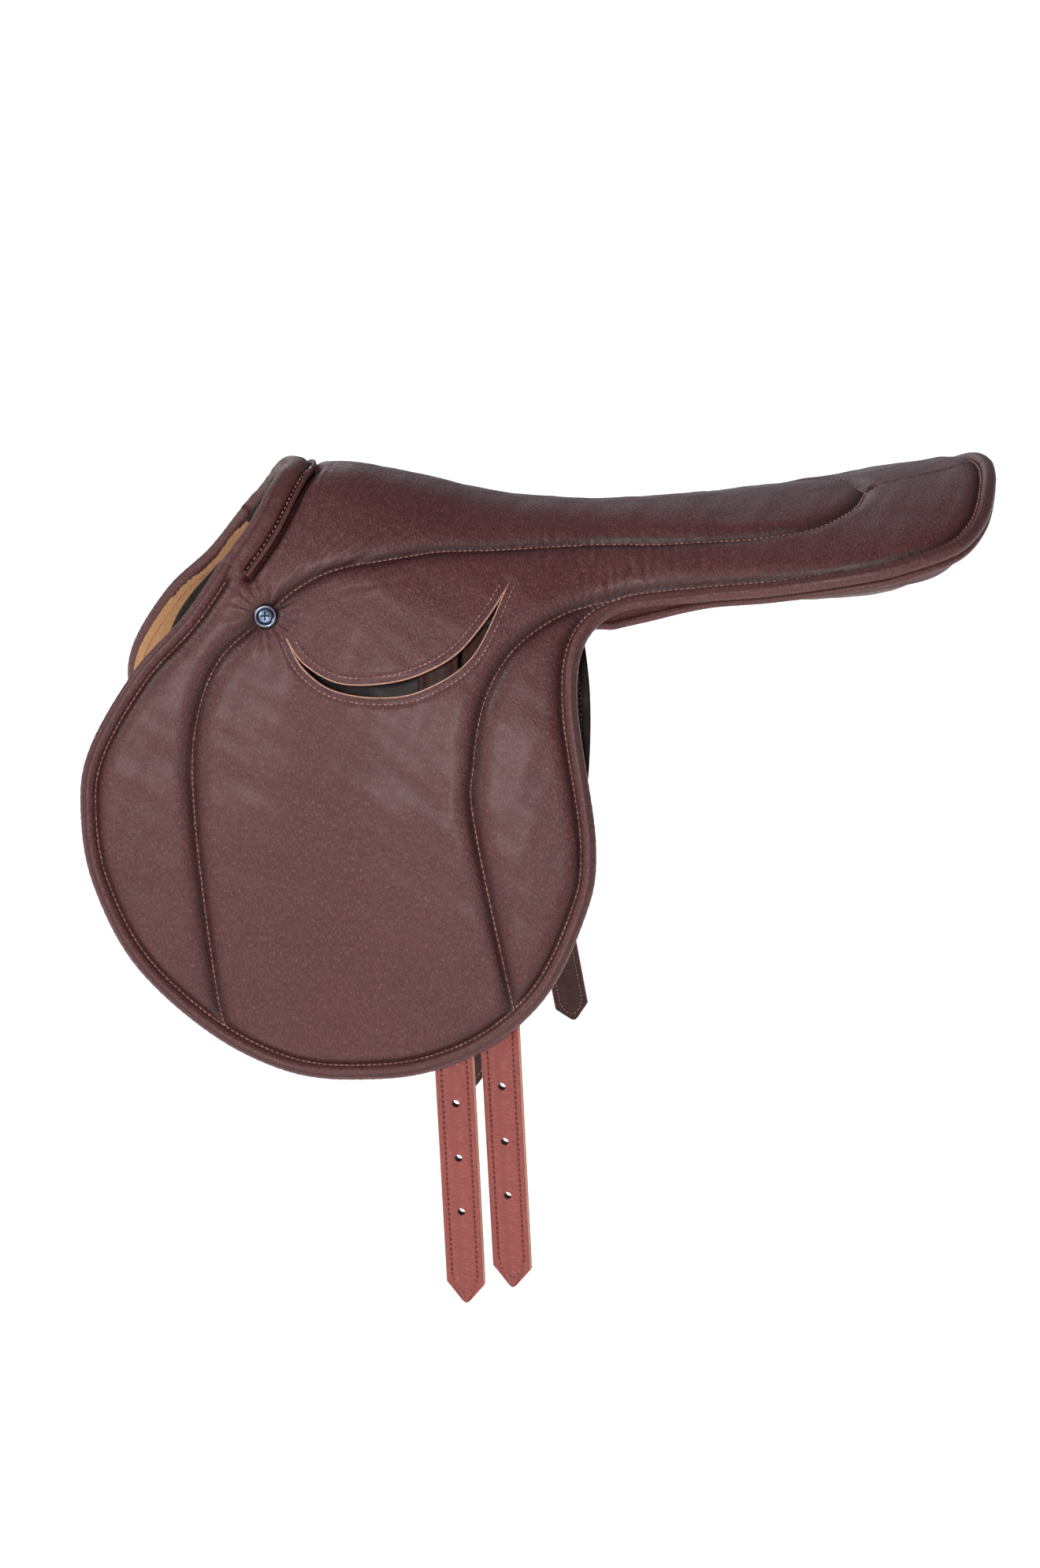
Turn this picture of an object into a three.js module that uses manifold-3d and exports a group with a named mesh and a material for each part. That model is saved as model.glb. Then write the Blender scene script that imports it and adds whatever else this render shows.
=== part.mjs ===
// English racing exercise saddle, as an assembly of its separate pieces.
//
// Millimetres. +X runs from the pommel to the cantle, -Y is the left (near) side and +Z is up.
// The origin is on the centre plane, on the ridge of the rack or back that carries the saddle.
// Left pieces are built on the -Y side. Right pieces are the same shapes in a mirrored group.

import * as THREE from "three";
import { mergeVertices } from "three/addons/utils/BufferGeometryUtils.js";
import Module from "manifold-3d";

const wasm = await Module();
wasm.setup();

// ---------------------------------------------------------------- driving dimensions

// The form: the outside of the saddle is one smooth surface over the horse's back. At each station x
// it falls away from the top line by referenceDrop * (|y| / halfWidth(x)) ^ crownPower.
const crownPower = 2.24;
const referenceDrop = 100;
const topLineStations = [
  [-144, 82], [-100, 81], [-58, 72], [-10, 61.5], [39, 57.5], [112, 59.5], [205, 67], [252, 76], [289, 87],
];
const halfWidthStations = [
  [-260, 86], [-150, 85], [-80, 94], [0, 104], [66, 107], [120, 140], [200, 196], [245, 198], [289, 140],
];

// Edges of the covering, seen from the side as (x, z) or from above as (x, half width).
const hingeZ = -3;
const headEdge = [[-144, 84], [-161, 63], [-178.5, 40.5], [-201, 10], [-214, -4]];
const rollEndZ = 40;
const flapEdge = [
  [-201, 10], [-231, -21], [-258, -65], [-264, -100], [-257, -146], [-229, -199], [-172, -247],
  [-110, -261], [-45, -248], [10, -210], [39, -158], [46, -115], [35, -38], [41, -2], [66, 14],
];
const rimEdge = [[66, 74], [110, 84], [150, 95], [190, 102], [225, 102], [258, 91], [278, 66], [288, 30]];
const rimStart = 43;
const rimEnd = 291;

// Seams that part the padded panels of the flap.
const kneeSeam = [[-152, 14], [-181, -17], [-195, -58], [-195, -111], [-184, -209], [-171, -275]];
const thighSeam = [[30, 14], [-3, -10], [-25, -51], [-27, -103], [-5, -203], [10, -250]];

// The slot that the stirrup leather comes out of, and the skirt that covers it.
const slotLip = [[-139, -3], [-130, -19], [-112, -31], [-87, -34.5], [-57, -30], [-27, -11], [-6, 27]];
const skirtEdge = [[-135, -5], [-125, -17], [-104, -26], [-73, -24], [-42, -12], [-22, 6], [-10, 23]];
const skirtClearance = 1.2;

// Layers, as depths below the form's surface.
const gap = 0.3;
const layerGap = 0.9;
const coverDepth = 2.6;
const foamDepth = 10;
const webThickness = 1.6;
const treeOuterDepth = 16;
const treeThickness = 10;
const gulletPlateThickness = 2.6;
const padDepth = 4;
const flapDepth = 9;
const skirtDepth = 5;
const sweatFlapDepth = 30.5;
const sweatFlapThickness = 3;
const panelOuterDepth = 36;
const channelWidth = 44;

const beadRadius = 4.4;
const beadMargin = 10.4;
const rimMargin = 13;
const panelBeadRadius = 3;
const rollWidth = 17;
const weltWidth = 3.5;

const billetWidth = 25;
const billetThickness = 4.5;
const billetDepth = 15;
const billetTopZ = 12;
const billetPivotZ = 5;
const billetFlatFromZ = -238;
const billetHoleRadius = 2.5;
const billetHolePitch = 38;
const billetHoleCount = 6;
const billetTipToHole = 66;
const billetPointLength = 14;
const billets = {
  front: { x: -50, tipZ: -423, lean: { left: 2.2, right: 2.2 }, flare: { left: 0, right: 0 } },
  rear: { x: -23, tipZ: -409, lean: { left: 2.6, right: 9 }, flare: { left: 0, right: 18 } },
};

const studPlace = { x: -152, z: 9 };
const studWasherRadius = 7.2;
const studHeadRadius = 4.3;
const studShankRadius = 2;
const studShankDepth = 14.6;
const studHoleClearance = 0.6;

const barPlace = { x: -112, across: 72 };
const barClearance = 1.4;
const barDepth = treeOuterDepth - barClearance;

const colours = {
  seatLeather: "#5e3f43", flapLeather: "#6a484a", beadLeather: "#4f3234", girthLeather: "#8c4a40",
  fleshSide: "#b98a5a", blackLeather: "#1d1a1b", foam: "#d8cdb0", webbing: "#c9bd9d",
  wood: "#c29a63", steel: "#8d9094", nickel: "#c4c7cc",
};

// ---------------------------------------------------------------- the form

// A smooth function through (x, value) stations, level beyond the first and last one.
function through(stations) {
  const last = stations.length - 1;
  const slopeAt = (i) => {
    const before = stations[Math.max(i - 1, 0)];
    const after = stations[Math.min(i + 1, last)];
    return (after[1] - before[1]) / (after[0] - before[0]);
  };
  return (x) => {
    if (x <= stations[0][0]) return stations[0][1];
    if (x >= stations[last][0]) return stations[last][1];
    const i = stations.findIndex(([station]) => station > x) - 1;
    const length = stations[i + 1][0] - stations[i][0];
    const t = (x - stations[i][0]) / length;
    const startPart = (2 * t ** 3 - 3 * t ** 2 + 1) * stations[i][1];
    const startSlope = (t ** 3 - 2 * t ** 2 + t) * length * slopeAt(i);
    const endPart = (3 * t ** 2 - 2 * t ** 3) * stations[i + 1][1];
    const endSlope = (t ** 3 - t ** 2) * length * slopeAt(i + 1);
    return startPart + startSlope + endPart + endSlope;
  };
}

const topLine = through(topLineStations);
const halfWidth = through(halfWidthStations);

// The angle of the surface below the horizontal, at station x and distance y from the centre.
function slopeAngle(x, y) {
  const ratio = Math.abs(y) / halfWidth(x);
  return Math.atan((crownPower * referenceDrop * ratio ** (crownPower - 1)) / halfWidth(x));
}

// The point of the form at station x and distance y, sunk by depth along the surface normal.
function onForm(x, y, depth = 0) {
  const drop = referenceDrop * (Math.abs(y) / halfWidth(x)) ** crownPower;
  const angle = slopeAngle(x, y);
  const sunkY = y - Math.sign(y) * depth * Math.sin(angle);
  return new THREE.Vector3(x, sunkY, topLine(x) - drop - depth * Math.cos(angle));
}

// The distance from the centre plane at which the form passes height z.
function acrossAt(x, z) {
  return halfWidth(x) * (Math.max(topLine(x) - z, 0) / referenceDrop) ** (1 / crownPower);
}

// The same for a layer sunk below the form: its surface point above it is found in a few steps.
function acrossAtDepth(x, z, depth) {
  let surfaceZ = z;
  for (let step = 0; step < 4; step++) {
    surfaceZ = z + depth * Math.cos(slopeAngle(x, acrossAt(x, surfaceZ)));
  }
  const across = acrossAt(x, surfaceZ);
  return across - depth * Math.sin(slopeAngle(x, across));
}

// ---------------------------------------------------------------- solids

function toSolid(geometry) {
  const bare = geometry.index ? geometry.toNonIndexed() : geometry.clone();
  bare.deleteAttribute("normal");
  bare.deleteAttribute("uv");
  const merged = mergeVertices(bare, 1e-3);
  return new wasm.Manifold(
    new wasm.Mesh({
      numProp: 3,
      vertProperties: merged.attributes.position.array,
      triVerts: new Uint32Array(merged.index.array),
    }),
  );
}

function toGeometry(solid) {
  const mesh = solid.getMesh();
  const geometry = new THREE.BufferGeometry();
  geometry.setAttribute("position", new THREE.BufferAttribute(mesh.vertProperties, 3));
  geometry.setIndex(new THREE.BufferAttribute(mesh.triVerts, 1));
  return geometry;
}

// A closed sheet between two depths of the form, each a number or a function of x and y. edges(x)
// gives its two sides as y, the lower first.
function sheet({ from, to, columns, rows, edges, outer, inner }) {
  const positions = [];
  const depthAt = (depth, x, y) => (typeof depth === "function" ? depth(x, y) : depth);
  for (const depth of [outer, inner]) {
    for (let i = 0; i <= columns; i++) {
      const x = THREE.MathUtils.lerp(from, to, i / columns);
      const [low, high] = edges(x);
      for (let j = 0; j <= rows; j++) {
        const y = THREE.MathUtils.lerp(low, high, j / rows);
        positions.push(...onForm(x, y, depthAt(depth, x, y)).toArray());
      }
    }
  }
  const index = [];
  const at = (layer, i, j) => (layer * (columns + 1) + i) * (rows + 1) + j;
  const quad = (a, b, c, d) => index.push(a, b, c, a, c, d);
  for (let i = 0; i < columns; i++) {
    for (let j = 0; j < rows; j++) {
      quad(at(0, i, j), at(0, i + 1, j), at(0, i + 1, j + 1), at(0, i, j + 1));
      quad(at(1, i, j), at(1, i, j + 1), at(1, i + 1, j + 1), at(1, i + 1, j));
    }
    quad(at(0, i, 0), at(1, i, 0), at(1, i + 1, 0), at(0, i + 1, 0));
    quad(at(0, i, rows), at(0, i + 1, rows), at(1, i + 1, rows), at(1, i, rows));
  }
  for (let j = 0; j < rows; j++) {
    quad(at(0, 0, j), at(0, 0, j + 1), at(1, 0, j + 1), at(1, 0, j));
    quad(at(0, columns, j), at(1, columns, j), at(1, columns, j + 1), at(0, columns, j + 1));
  }
  const geometry = new THREE.BufferGeometry();
  geometry.setAttribute("position", new THREE.Float32BufferAttribute(positions, 3));
  geometry.setIndex(index);
  return geometry;
}

// A smooth line through a few points in a plane, as that many equal pieces.
function smooth(points, pieces) {
  const curve = new THREE.SplineCurve(points.map(([a, b]) => new THREE.Vector2(a, b)));
  return curve.getSpacedPoints(pieces).map((p) => [p.x, p.y]);
}

// A line moved to its left by distance, seen along its own direction.
function shifted(points, distance) {
  return points.map(([a, b], i) => {
    const [a0, b0] = points[Math.max(i - 1, 0)];
    const [a1, b1] = points[Math.min(i + 1, points.length - 1)];
    const length = Math.hypot(a1 - a0, b1 - b0);
    return [a - (distance * (b1 - b0)) / length, b + (distance * (a1 - a0)) / length];
  });
}

// A solid through the saddle with a side-view outline, from y = low to y = high.
const throughSide = { low: -260, high: -4 };
const throughBoth = { low: -260, high: 260 };
function sideCutter(outline, { low, high } = throughSide) {
  const shape = new THREE.Shape(outline.map(([x, z]) => new THREE.Vector2(x, z)));
  const geometry = new THREE.ExtrudeGeometry(shape, { depth: high - low, bevelEnabled: false });
  return toSolid(geometry.rotateX(Math.PI / 2).translate(0, high, 0));
}

// A solid through the saddle with an outline seen from above.
function planCutter(outline) {
  const shape = new THREE.Shape(outline.map(([x, y]) => new THREE.Vector2(x, y)));
  const height = 400;
  const geometry = new THREE.ExtrudeGeometry(shape, { depth: height, bevelEnabled: false });
  return toSolid(geometry.translate(0, 0, -height / 2));
}

function tube(points, radius, steps) {
  const section = new THREE.Shape().absarc(0, 0, radius, 0, 2 * Math.PI);
  const path = new THREE.CatmullRomCurve3(points);
  return new THREE.ExtrudeGeometry(section, {
    steps, extrudePath: path, bevelEnabled: false, curveSegments: 3,
  });
}

function mesh(name, geometry, colour, roughness = 0.6, metalness = 0) {
  geometry.computeVertexNormals();
  const material = new THREE.MeshStandardMaterial({ color: colour, roughness, metalness });
  const piece = new THREE.Mesh(geometry, material);
  piece.name = name;
  return piece;
}

const metal = [0.3, 1];

// ---------------------------------------------------------------- outlines

const flapLine = smooth(flapEdge, 34);
const flapInside = shifted(flapLine, beadMargin);
const headLine = smooth(headEdge, 9);
const rollLine = [[-134, 98], ...headLine.filter(([, z]) => z > rollEndZ)];
const slotLine = smooth(slotLip, 10);
const skirtLine = smooth(skirtEdge, 10);
const kneeLine = smooth(kneeSeam, 8);
const thighLine = smooth(thighSeam, 8);

const faraway = 300;
const belowHinge = [
  [-faraway, hingeZ - skirtClearance], [-faraway, -faraway],
  [faraway, -faraway], [faraway, hingeZ - skirtClearance],
];

// The right-hand half of the rim seen from above, from the waist to the middle of the cantle.
function rimAt(margin) {
  const start = [rimStart, acrossAt(rimStart, hingeZ + 4)];
  const rim = shifted(smooth([start, ...rimEdge, [rimEnd, 0]], 20), -margin);
  return [...rim.slice(0, -1), [rimEnd - margin, 0]];
}

// ---------------------------------------------------------------- covering on the centre

// The whole covering above the flap hinge line, seen from the side.
function coverOutline() {
  const behindWelt = shifted(rollLine, rollWidth + weltWidth + 3 * gap);
  const behindBead = flapInside.filter(([x, z]) => x < 0 && z > hingeZ && z < 28);
  return [
    [-110, 120], ...behindWelt, ...behindBead,
    [-200, hingeZ], [28, hingeZ], [40, 15], [60, 26], [80, -20], [faraway, -20], [faraway, 120],
  ];
}

function seatCover() {
  const rim = rimAt(rimMargin);
  const sideOfSeat = [[-250, 140], [rim[0][0], 140], ...rim];
  const plan = [...sideOfSeat.map(([x, y]) => [x, -y]), ...sideOfSeat.reverse().slice(1)];
  const layer = sheet({
    from: -235, to: 290, columns: 18, rows: 16, outer: 0, inner: coverDepth,
    edges: (x) => {
      const reach = x < 66 ? acrossAt(x, -14) : 112;
      return [-reach, reach];
    },
  });
  const openings = [slotOpening(), mirrored(slotOpening())];
  const holes = [studHole(), mirrored(studHole())];
  const cover = toSolid(layer)
    .intersect(sideCutter(coverOutline(), throughBoth))
    .intersect(planCutter(plan));
  return toGeometry([...openings, ...holes].reduce((solid, cut) => solid.subtract(cut), cover));
}

// The same solid on the other side of the centre plane.
function mirrored(solid) {
  const geometry = toGeometry(solid).scale(1, -1, 1);
  const index = geometry.index.array;
  for (let i = 0; i < index.length; i += 3) [index[i], index[i + 1]] = [index[i + 1], index[i]];
  return toSolid(geometry);
}

function slotOpening() {
  return sideCutter(slotLine);
}

function studHole() {
  const radius = studShankRadius + studHoleClearance;
  const hole = new THREE.CylinderGeometry(radius, radius, 24, 12);
  hole.rotateX(Math.PI / 2);
  return toSolid(placedOnForm(hole, studPlace.x, -acrossAt(studPlace.x, studPlace.z)));
}

// Moves geometry whose +Z points outwards to a place on the form.
function placedOnForm(geometry, x, y, depth = 0) {
  const place = onForm(x, y, depth);
  return geometry.rotateX(slopeAngle(x, y)).translate(place.x, place.y, place.z);
}

function seatFoam() {
  const halfSpan = through([[-112, 50], [-50, 54], [30, 58], [66, 60], [150, 82], [225, 88], [268, 58]]);
  return sheet({
    from: -112, to: 268, columns: 12, rows: 8, outer: coverDepth + 1.5 * layerGap, inner: foamDepth,
    edges: (x) => [-halfSpan(x), halfSpan(x)],
  });
}

function band(line, offset, width) {
  const front = shifted(line, offset);
  const back = shifted(line, offset + width).reverse();
  return sideCutter([...front, ...back], throughBoth);
}

function headBand(offset, width, outer, inner) {
  const layer = sheet({
    from: -200, to: -100, columns: 5, rows: 14, outer, inner,
    edges: (x) => [-acrossAt(x, 24), acrossAt(x, 24)],
  });
  return toGeometry(toSolid(layer).intersect(band(rollLine, offset, width)));
}

function rimTube(radius, outwards, depth) {
  const half = rimAt(-outwards).map(([x, y]) => onForm(x, y, depth));
  const left = half.map((p) => new THREE.Vector3(p.x, -p.y, p.z));
  return tube([...left, ...half.slice(0, -1).reverse()], radius, 40);
}

// ---------------------------------------------------------------- tree and webbing

const belowTree = treeOuterDepth + treeThickness + layerGap;

const pointSlant = [[-134, 96], [-140, 62], [-152, 9], [-170, -46]];

function archOutline(width) {
  const line = smooth(pointSlant, 5);
  return [...shifted(line, -width / 2), ...shifted(line, width / 2).reverse()];
}

function arch(width, lowestZ, outer, thickness) {
  const layer = sheet({
    from: -205, to: -105, columns: 3, rows: 14, outer, inner: outer + thickness,
    edges: (x) => [-acrossAt(x, lowestZ), acrossAt(x, lowestZ)],
  });
  return toGeometry(toSolid(layer).intersect(sideCutter(archOutline(width), throughBoth)));
}

function treeRail() {
  const innerEdge = through([[-116, 24], [0, 26], [110, 34], [204, 44]]);
  const outerEdge = through([[-116, 70], [-76, 70], [-30, 57], [40, 54], [110, 62], [204, 82]]);
  return sheet({
    from: -116, to: 204, columns: 10, rows: 3,
    outer: treeOuterDepth, inner: treeOuterDepth + treeThickness,
    edges: (x) => [-outerEdge(x), -innerEdge(x)],
  });
}

function treeCantle() {
  const halfSpan = through([[204.6, 82], [235, 80], [258, 62], [270, 40]]);
  return sheet({
    from: 204.6, to: 270, columns: 4, rows: 9,
    outer: treeOuterDepth, inner: treeOuterDepth + treeThickness,
    edges: (x) => [-halfSpan(x), halfSpan(x)],
  });
}

const girthWebDepth = foamDepth + layerGap;
const seatWebDepth = girthWebDepth + webThickness + layerGap;

function seatWeb() {
  return sheet({
    from: -112, to: 240, columns: 10, rows: 3,
    outer: seatWebDepth, inner: seatWebDepth + webThickness,
    edges: () => [-40, -6],
  });
}

function crossWeb() {
  return sheet({
    from: 70, to: 108, columns: 2, rows: 8,
    outer: girthWebDepth, inner: girthWebDepth + webThickness,
    edges: () => [-62, 62],
  });
}

function girthWeb(x) {
  const width = billetWidth + 1;
  return sheet({
    from: x - width / 2, to: x + width / 2, columns: 1, rows: 14,
    outer: girthWebDepth, inner: girthWebDepth + webThickness,
    edges: (station) => [-acrossAt(station, 6), acrossAt(station, 6)],
  });
}

function channelLining() {
  return sheet({
    from: -104, to: 236, columns: 10, rows: 2,
    outer: belowTree, inner: belowTree + 2,
    edges: () => [-27, 27],
  });
}

// ---------------------------------------------------------------- left-hand pieces

function flapLayer(outer, inner) {
  return toSolid(sheet({
    from: -266, to: 62, columns: 9, rows: 8, outer, inner,
    edges: (x) => [-acrossAt(x, -282), -acrossAt(x, 14)],
  })).intersect(sideCutter(flapInside)).intersect(sideCutter(belowHinge)).subtract(slotOpening());
}

// Part of the flap in front of a seam, or behind it.
function beforeSeam(line, clearance) {
  return sideCutter([...shifted(line, -clearance), [-faraway, -faraway], [-faraway, 60]]);
}

function behindSeam(line, clearance) {
  return sideCutter([...shifted(line, clearance), [faraway, -faraway], [faraway, 60]]);
}

const seamClearance = 0.6;

function flapPads() {
  const pads = flapLayer(0, padDepth - gap);
  return {
    knee_roll: toGeometry(pads.intersect(beforeSeam(kneeLine, seamClearance))),
    flap_centre: toGeometry(
      pads.intersect(behindSeam(kneeLine, seamClearance)).intersect(beforeSeam(thighLine, seamClearance)),
    ),
    thigh_roll: toGeometry(pads.intersect(behindSeam(thighLine, seamClearance))),
  };
}

function beadAlong(points, steps) {
  const centre = shifted(points, beadRadius);
  return tube(centre.map(([x, z]) => onForm(x, -acrossAt(x, z), beadRadius)), beadRadius, steps);
}

function flapBead() {
  return toGeometry(toSolid(beadAlong(flapLine.filter(([, z]) => z < 8), 34))
    .intersect(sideCutter(belowHinge)));
}

function frontBead() {
  return beadAlong(smooth([[-182.5, 35], [-200, 11], [-208, 2]], 6), 4);
}

function skirt() {
  const lowered = skirtLine.map(([x, z]) => [x, z - skirtClearance]);
  const layer = sheet({
    from: -142, to: 0, columns: 7, rows: 4, outer: 0, inner: skirtDepth,
    edges: (x) => [-acrossAt(x, -46), -acrossAt(x, 40)],
  });
  return toGeometry(toSolid(layer).intersect(sideCutter(lowered)));
}

function sweatFlap() {
  const outline = smooth([
    [-196, 14], [-222, -30], [-238, -89], [-218, -146], [-168, -198], [-100, -219],
    [-30, -204], [18, -152], [38, -96], [44, -40], [36, 14],
  ], 22);
  const layer = sheet({
    from: -250, to: 60, columns: 7, rows: 6,
    outer: sweatFlapDepth, inner: sweatFlapDepth + sweatFlapThickness,
    edges: (x) => [-acrossAt(x, -250), -acrossAt(x, 40)],
  });
  return toGeometry(toSolid(layer).intersect(sideCutter(outline)));
}

// A flocked panel: thickest beside the channel and thin at its outer edge.
function panel() {
  const innerEdge = 34;
  const outerEdge = through([
    [-175, 98], [-120, 100], [-60, 92], [0, 76], [60, 68], [120, 76], [200, 94], [250, 86], [268, 64],
  ]);
  const outer = through([[50, panelOuterDepth], [120, treeOuterDepth + treeThickness + 2 * layerGap]]);
  const thickness = through([[-175, 13], [0, 16], [120, 20], [210, 24], [268, 14]]);
  const inner = (x, y) => {
    const outwards = (-y - innerEdge) / (outerEdge(x) - innerEdge);
    return outer(x) + thickness(x) * (1 - 0.75 * outwards ** 2);
  };
  const layer = sheet({
    from: -186, to: 268, columns: 12, rows: 5, outer, inner,
    edges: (x) => [-outerEdge(x), -innerEdge],
  });
  const front = shifted([[-134, 98], ...headLine], 12);
  const behindHead = [...front, [-226, -faraway], [faraway, -faraway], [faraway, 98]];
  const leftOfChannel = { low: -260, high: -channelWidth / 2 };
  return toGeometry(toSolid(layer).intersect(sideCutter(behindHead, leftOfChannel)));
}

// The strap in its own frame: it hangs from its pivot, follows the flap down and then hangs straight,
// splayed outwards by the angle flare.
function billet({ x, tipZ }, flare) {
  const below = (z) => Math.min(z - billetFlatFromZ, 0);
  const height = (z) => z + below(z) * (Math.cos(flare) - 1);
  const faceAt = (z) => {
    const hanging = acrossAtDepth(x, Math.max(z, billetFlatFromZ), billetDepth);
    return hanging - below(z) * Math.sin(flare);
  };
  const stations = [billetTopZ, -20, -60, -105, -155, billetFlatFromZ, tipZ - 5];
  const outerFace = stations.map((z) => [faceAt(z), height(z)]);
  const innerFace = stations.map((z) => [faceAt(z) - billetThickness, height(z)]).reverse();
  const profile = new THREE.Shape([...outerFace, ...innerFace].map(([y, z]) => new THREE.Vector2(-y, z)));
  const strap = new THREE.ExtrudeGeometry(profile, { depth: billetWidth, bevelEnabled: false });
  strap.rotateY(Math.PI / 2).rotateX(Math.PI / 2).translate(x - billetWidth / 2, 0, 0);
  const half = billetWidth / 2;
  const tip = height(tipZ);
  const pointed = [
    [x - half, 30], [x - half, tip + billetPointLength], [x - 5, tip + 2], [x, tip],
    [x + 5, tip + 2], [x + half, tip + billetPointLength], [x + half, 30],
  ];
  let solid = toSolid(strap).intersect(sideCutter(pointed));
  for (let i = 0; i < billetHoleCount; i++) {
    const hole = new THREE.CylinderGeometry(billetHoleRadius, billetHoleRadius, 200, 8);
    hole.translate(x, -130, height(tipZ + billetTipToHole + i * billetHolePitch));
    solid = solid.subtract(toSolid(hole));
  }
  return toGeometry(solid).translate(-x, 0, -billetPivotZ);
}

function studScrew() {
  const profile = [
    [0, -studShankDepth], [studShankRadius, -studShankDepth], [studShankRadius, 0.5], [studHeadRadius, 0.5],
    [studHeadRadius, 2], [studHeadRadius * 0.6, 3.2], [0, 3.6],
  ].map(([r, z]) => new THREE.Vector2(r, z));
  return new THREE.LatheGeometry(profile, 12).rotateX(Math.PI / 2);
}

function studWasher() {
  const ring = new THREE.Shape().absarc(0, 0, studWasherRadius, 0, 2 * Math.PI);
  ring.holes.push(new THREE.Path().absarc(0, 0, studHeadRadius + gap, 0, 2 * Math.PI, true));
  return new THREE.ExtrudeGeometry(ring, { depth: 2.4, bevelEnabled: false, curveSegments: 7 });
}

// ---------------------------------------------------------------- stirrup bar, in its own flat frame

const bar = {
  front: -38, catchStep: 16, rear: 32, low: -20, high: -10,
  plateLow: 3, plateHigh: 18, plateRear: 34, thickness: 6, plateThickness: 3,
  legWidth: 11, rivetX: [-20, 22], rivetY: 11, pivot: [24, -15],
};
const rivet = { radius: 1.9, headRadius: 3.6, headHeight: 1.8 };
const pin = { radius: 2, headRadius: 3.2, headHeight: 1.4 };
const runningClearance = 0.35;

function rectangle(left, low, right, high) {
  return new THREE.Shape([
    new THREE.Vector2(left, low), new THREE.Vector2(right, low),
    new THREE.Vector2(right, high), new THREE.Vector2(left, high),
  ]);
}

function circleHole([x, y], radius) {
  return new THREE.Path().absarc(x, y, radius, 0, 2 * Math.PI, true);
}

function plate(shape, from, to) {
  const geometry = new THREE.ExtrudeGeometry(shape, {
    depth: to - from, bevelEnabled: false, curveSegments: 6,
  });
  return geometry.translate(0, 0, from);
}

function stirrupBar() {
  const backPlate = rectangle(bar.front, bar.plateLow, bar.plateRear, bar.plateHigh);
  for (const x of bar.rivetX) backPlate.holes.push(circleHole([x, bar.rivetY], rivet.radius + gap));
  const leg = rectangle(bar.front, bar.low, bar.front + bar.legWidth, bar.plateHigh - 4);
  const rail = rectangle(bar.front, bar.low, bar.catchStep, bar.high);
  const tongue = rectangle(bar.catchStep - 2, bar.low, bar.rear, bar.high);
  tongue.holes.push(circleHole(bar.pivot, pin.radius + gap));
  const solid = toSolid(plate(backPlate, gap, bar.plateThickness))
    .add(toSolid(plate(leg, gap, bar.thickness)))
    .add(toSolid(plate(rail, gap, bar.thickness)))
    .add(toSolid(plate(tongue, gap, bar.plateThickness)));
  return toGeometry(solid);
}

function barCatch() {
  const [x, y] = bar.pivot;
  const arm = new THREE.Shape();
  arm.absarc(x, y, 4.6, Math.PI / 2, (3 * Math.PI) / 2);
  arm.lineTo(x + 17, y - 3.4);
  arm.absarc(x + 19, y, 4, -Math.PI / 2, Math.PI / 2);
  arm.holes.push(circleHole(bar.pivot, pin.radius + runningClearance));
  return plate(arm, bar.plateThickness + gap, bar.thickness);
}

// A round-headed fastener standing on the frame's plane at (x, y).
function headedPin([x, y], { radius, headRadius, headHeight }, shankFrom, headFrom) {
  const profile = [
    [0, shankFrom], [radius, shankFrom], [radius, headFrom], [headRadius, headFrom],
    [headRadius, headFrom + headHeight * 0.5], [headRadius * 0.6, headFrom + headHeight],
    [0, headFrom + headHeight],
  ].map(([r, z]) => new THREE.Vector2(r, z));
  return new THREE.LatheGeometry(profile, 9).rotateX(Math.PI / 2).translate(x, y, 0);
}

function stirrupBarPieces(side) {
  const frame = new THREE.Group();
  frame.position.copy(onForm(barPlace.x, -barPlace.across, barDepth));
  frame.rotation.x = slopeAngle(barPlace.x, barPlace.across);
  const steel = (name, geometry) => mesh(`${name}_${side}`, geometry, colours.steel, ...metal);
  frame.add(
    steel("stirrup_bar", stirrupBar()),
    steel("bar_catch", barCatch()),
    steel("catch_pin", headedPin(bar.pivot, pin, gap, bar.thickness + gap)),
    ...["front", "rear"].map((place, i) => steel(
      `bar_rivet_${place}`,
      headedPin([bar.rivetX[i], bar.rivetY], rivet, gap, bar.plateThickness + gap),
    )),
  );
  return frame;
}

// ---------------------------------------------------------------- assembly

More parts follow.
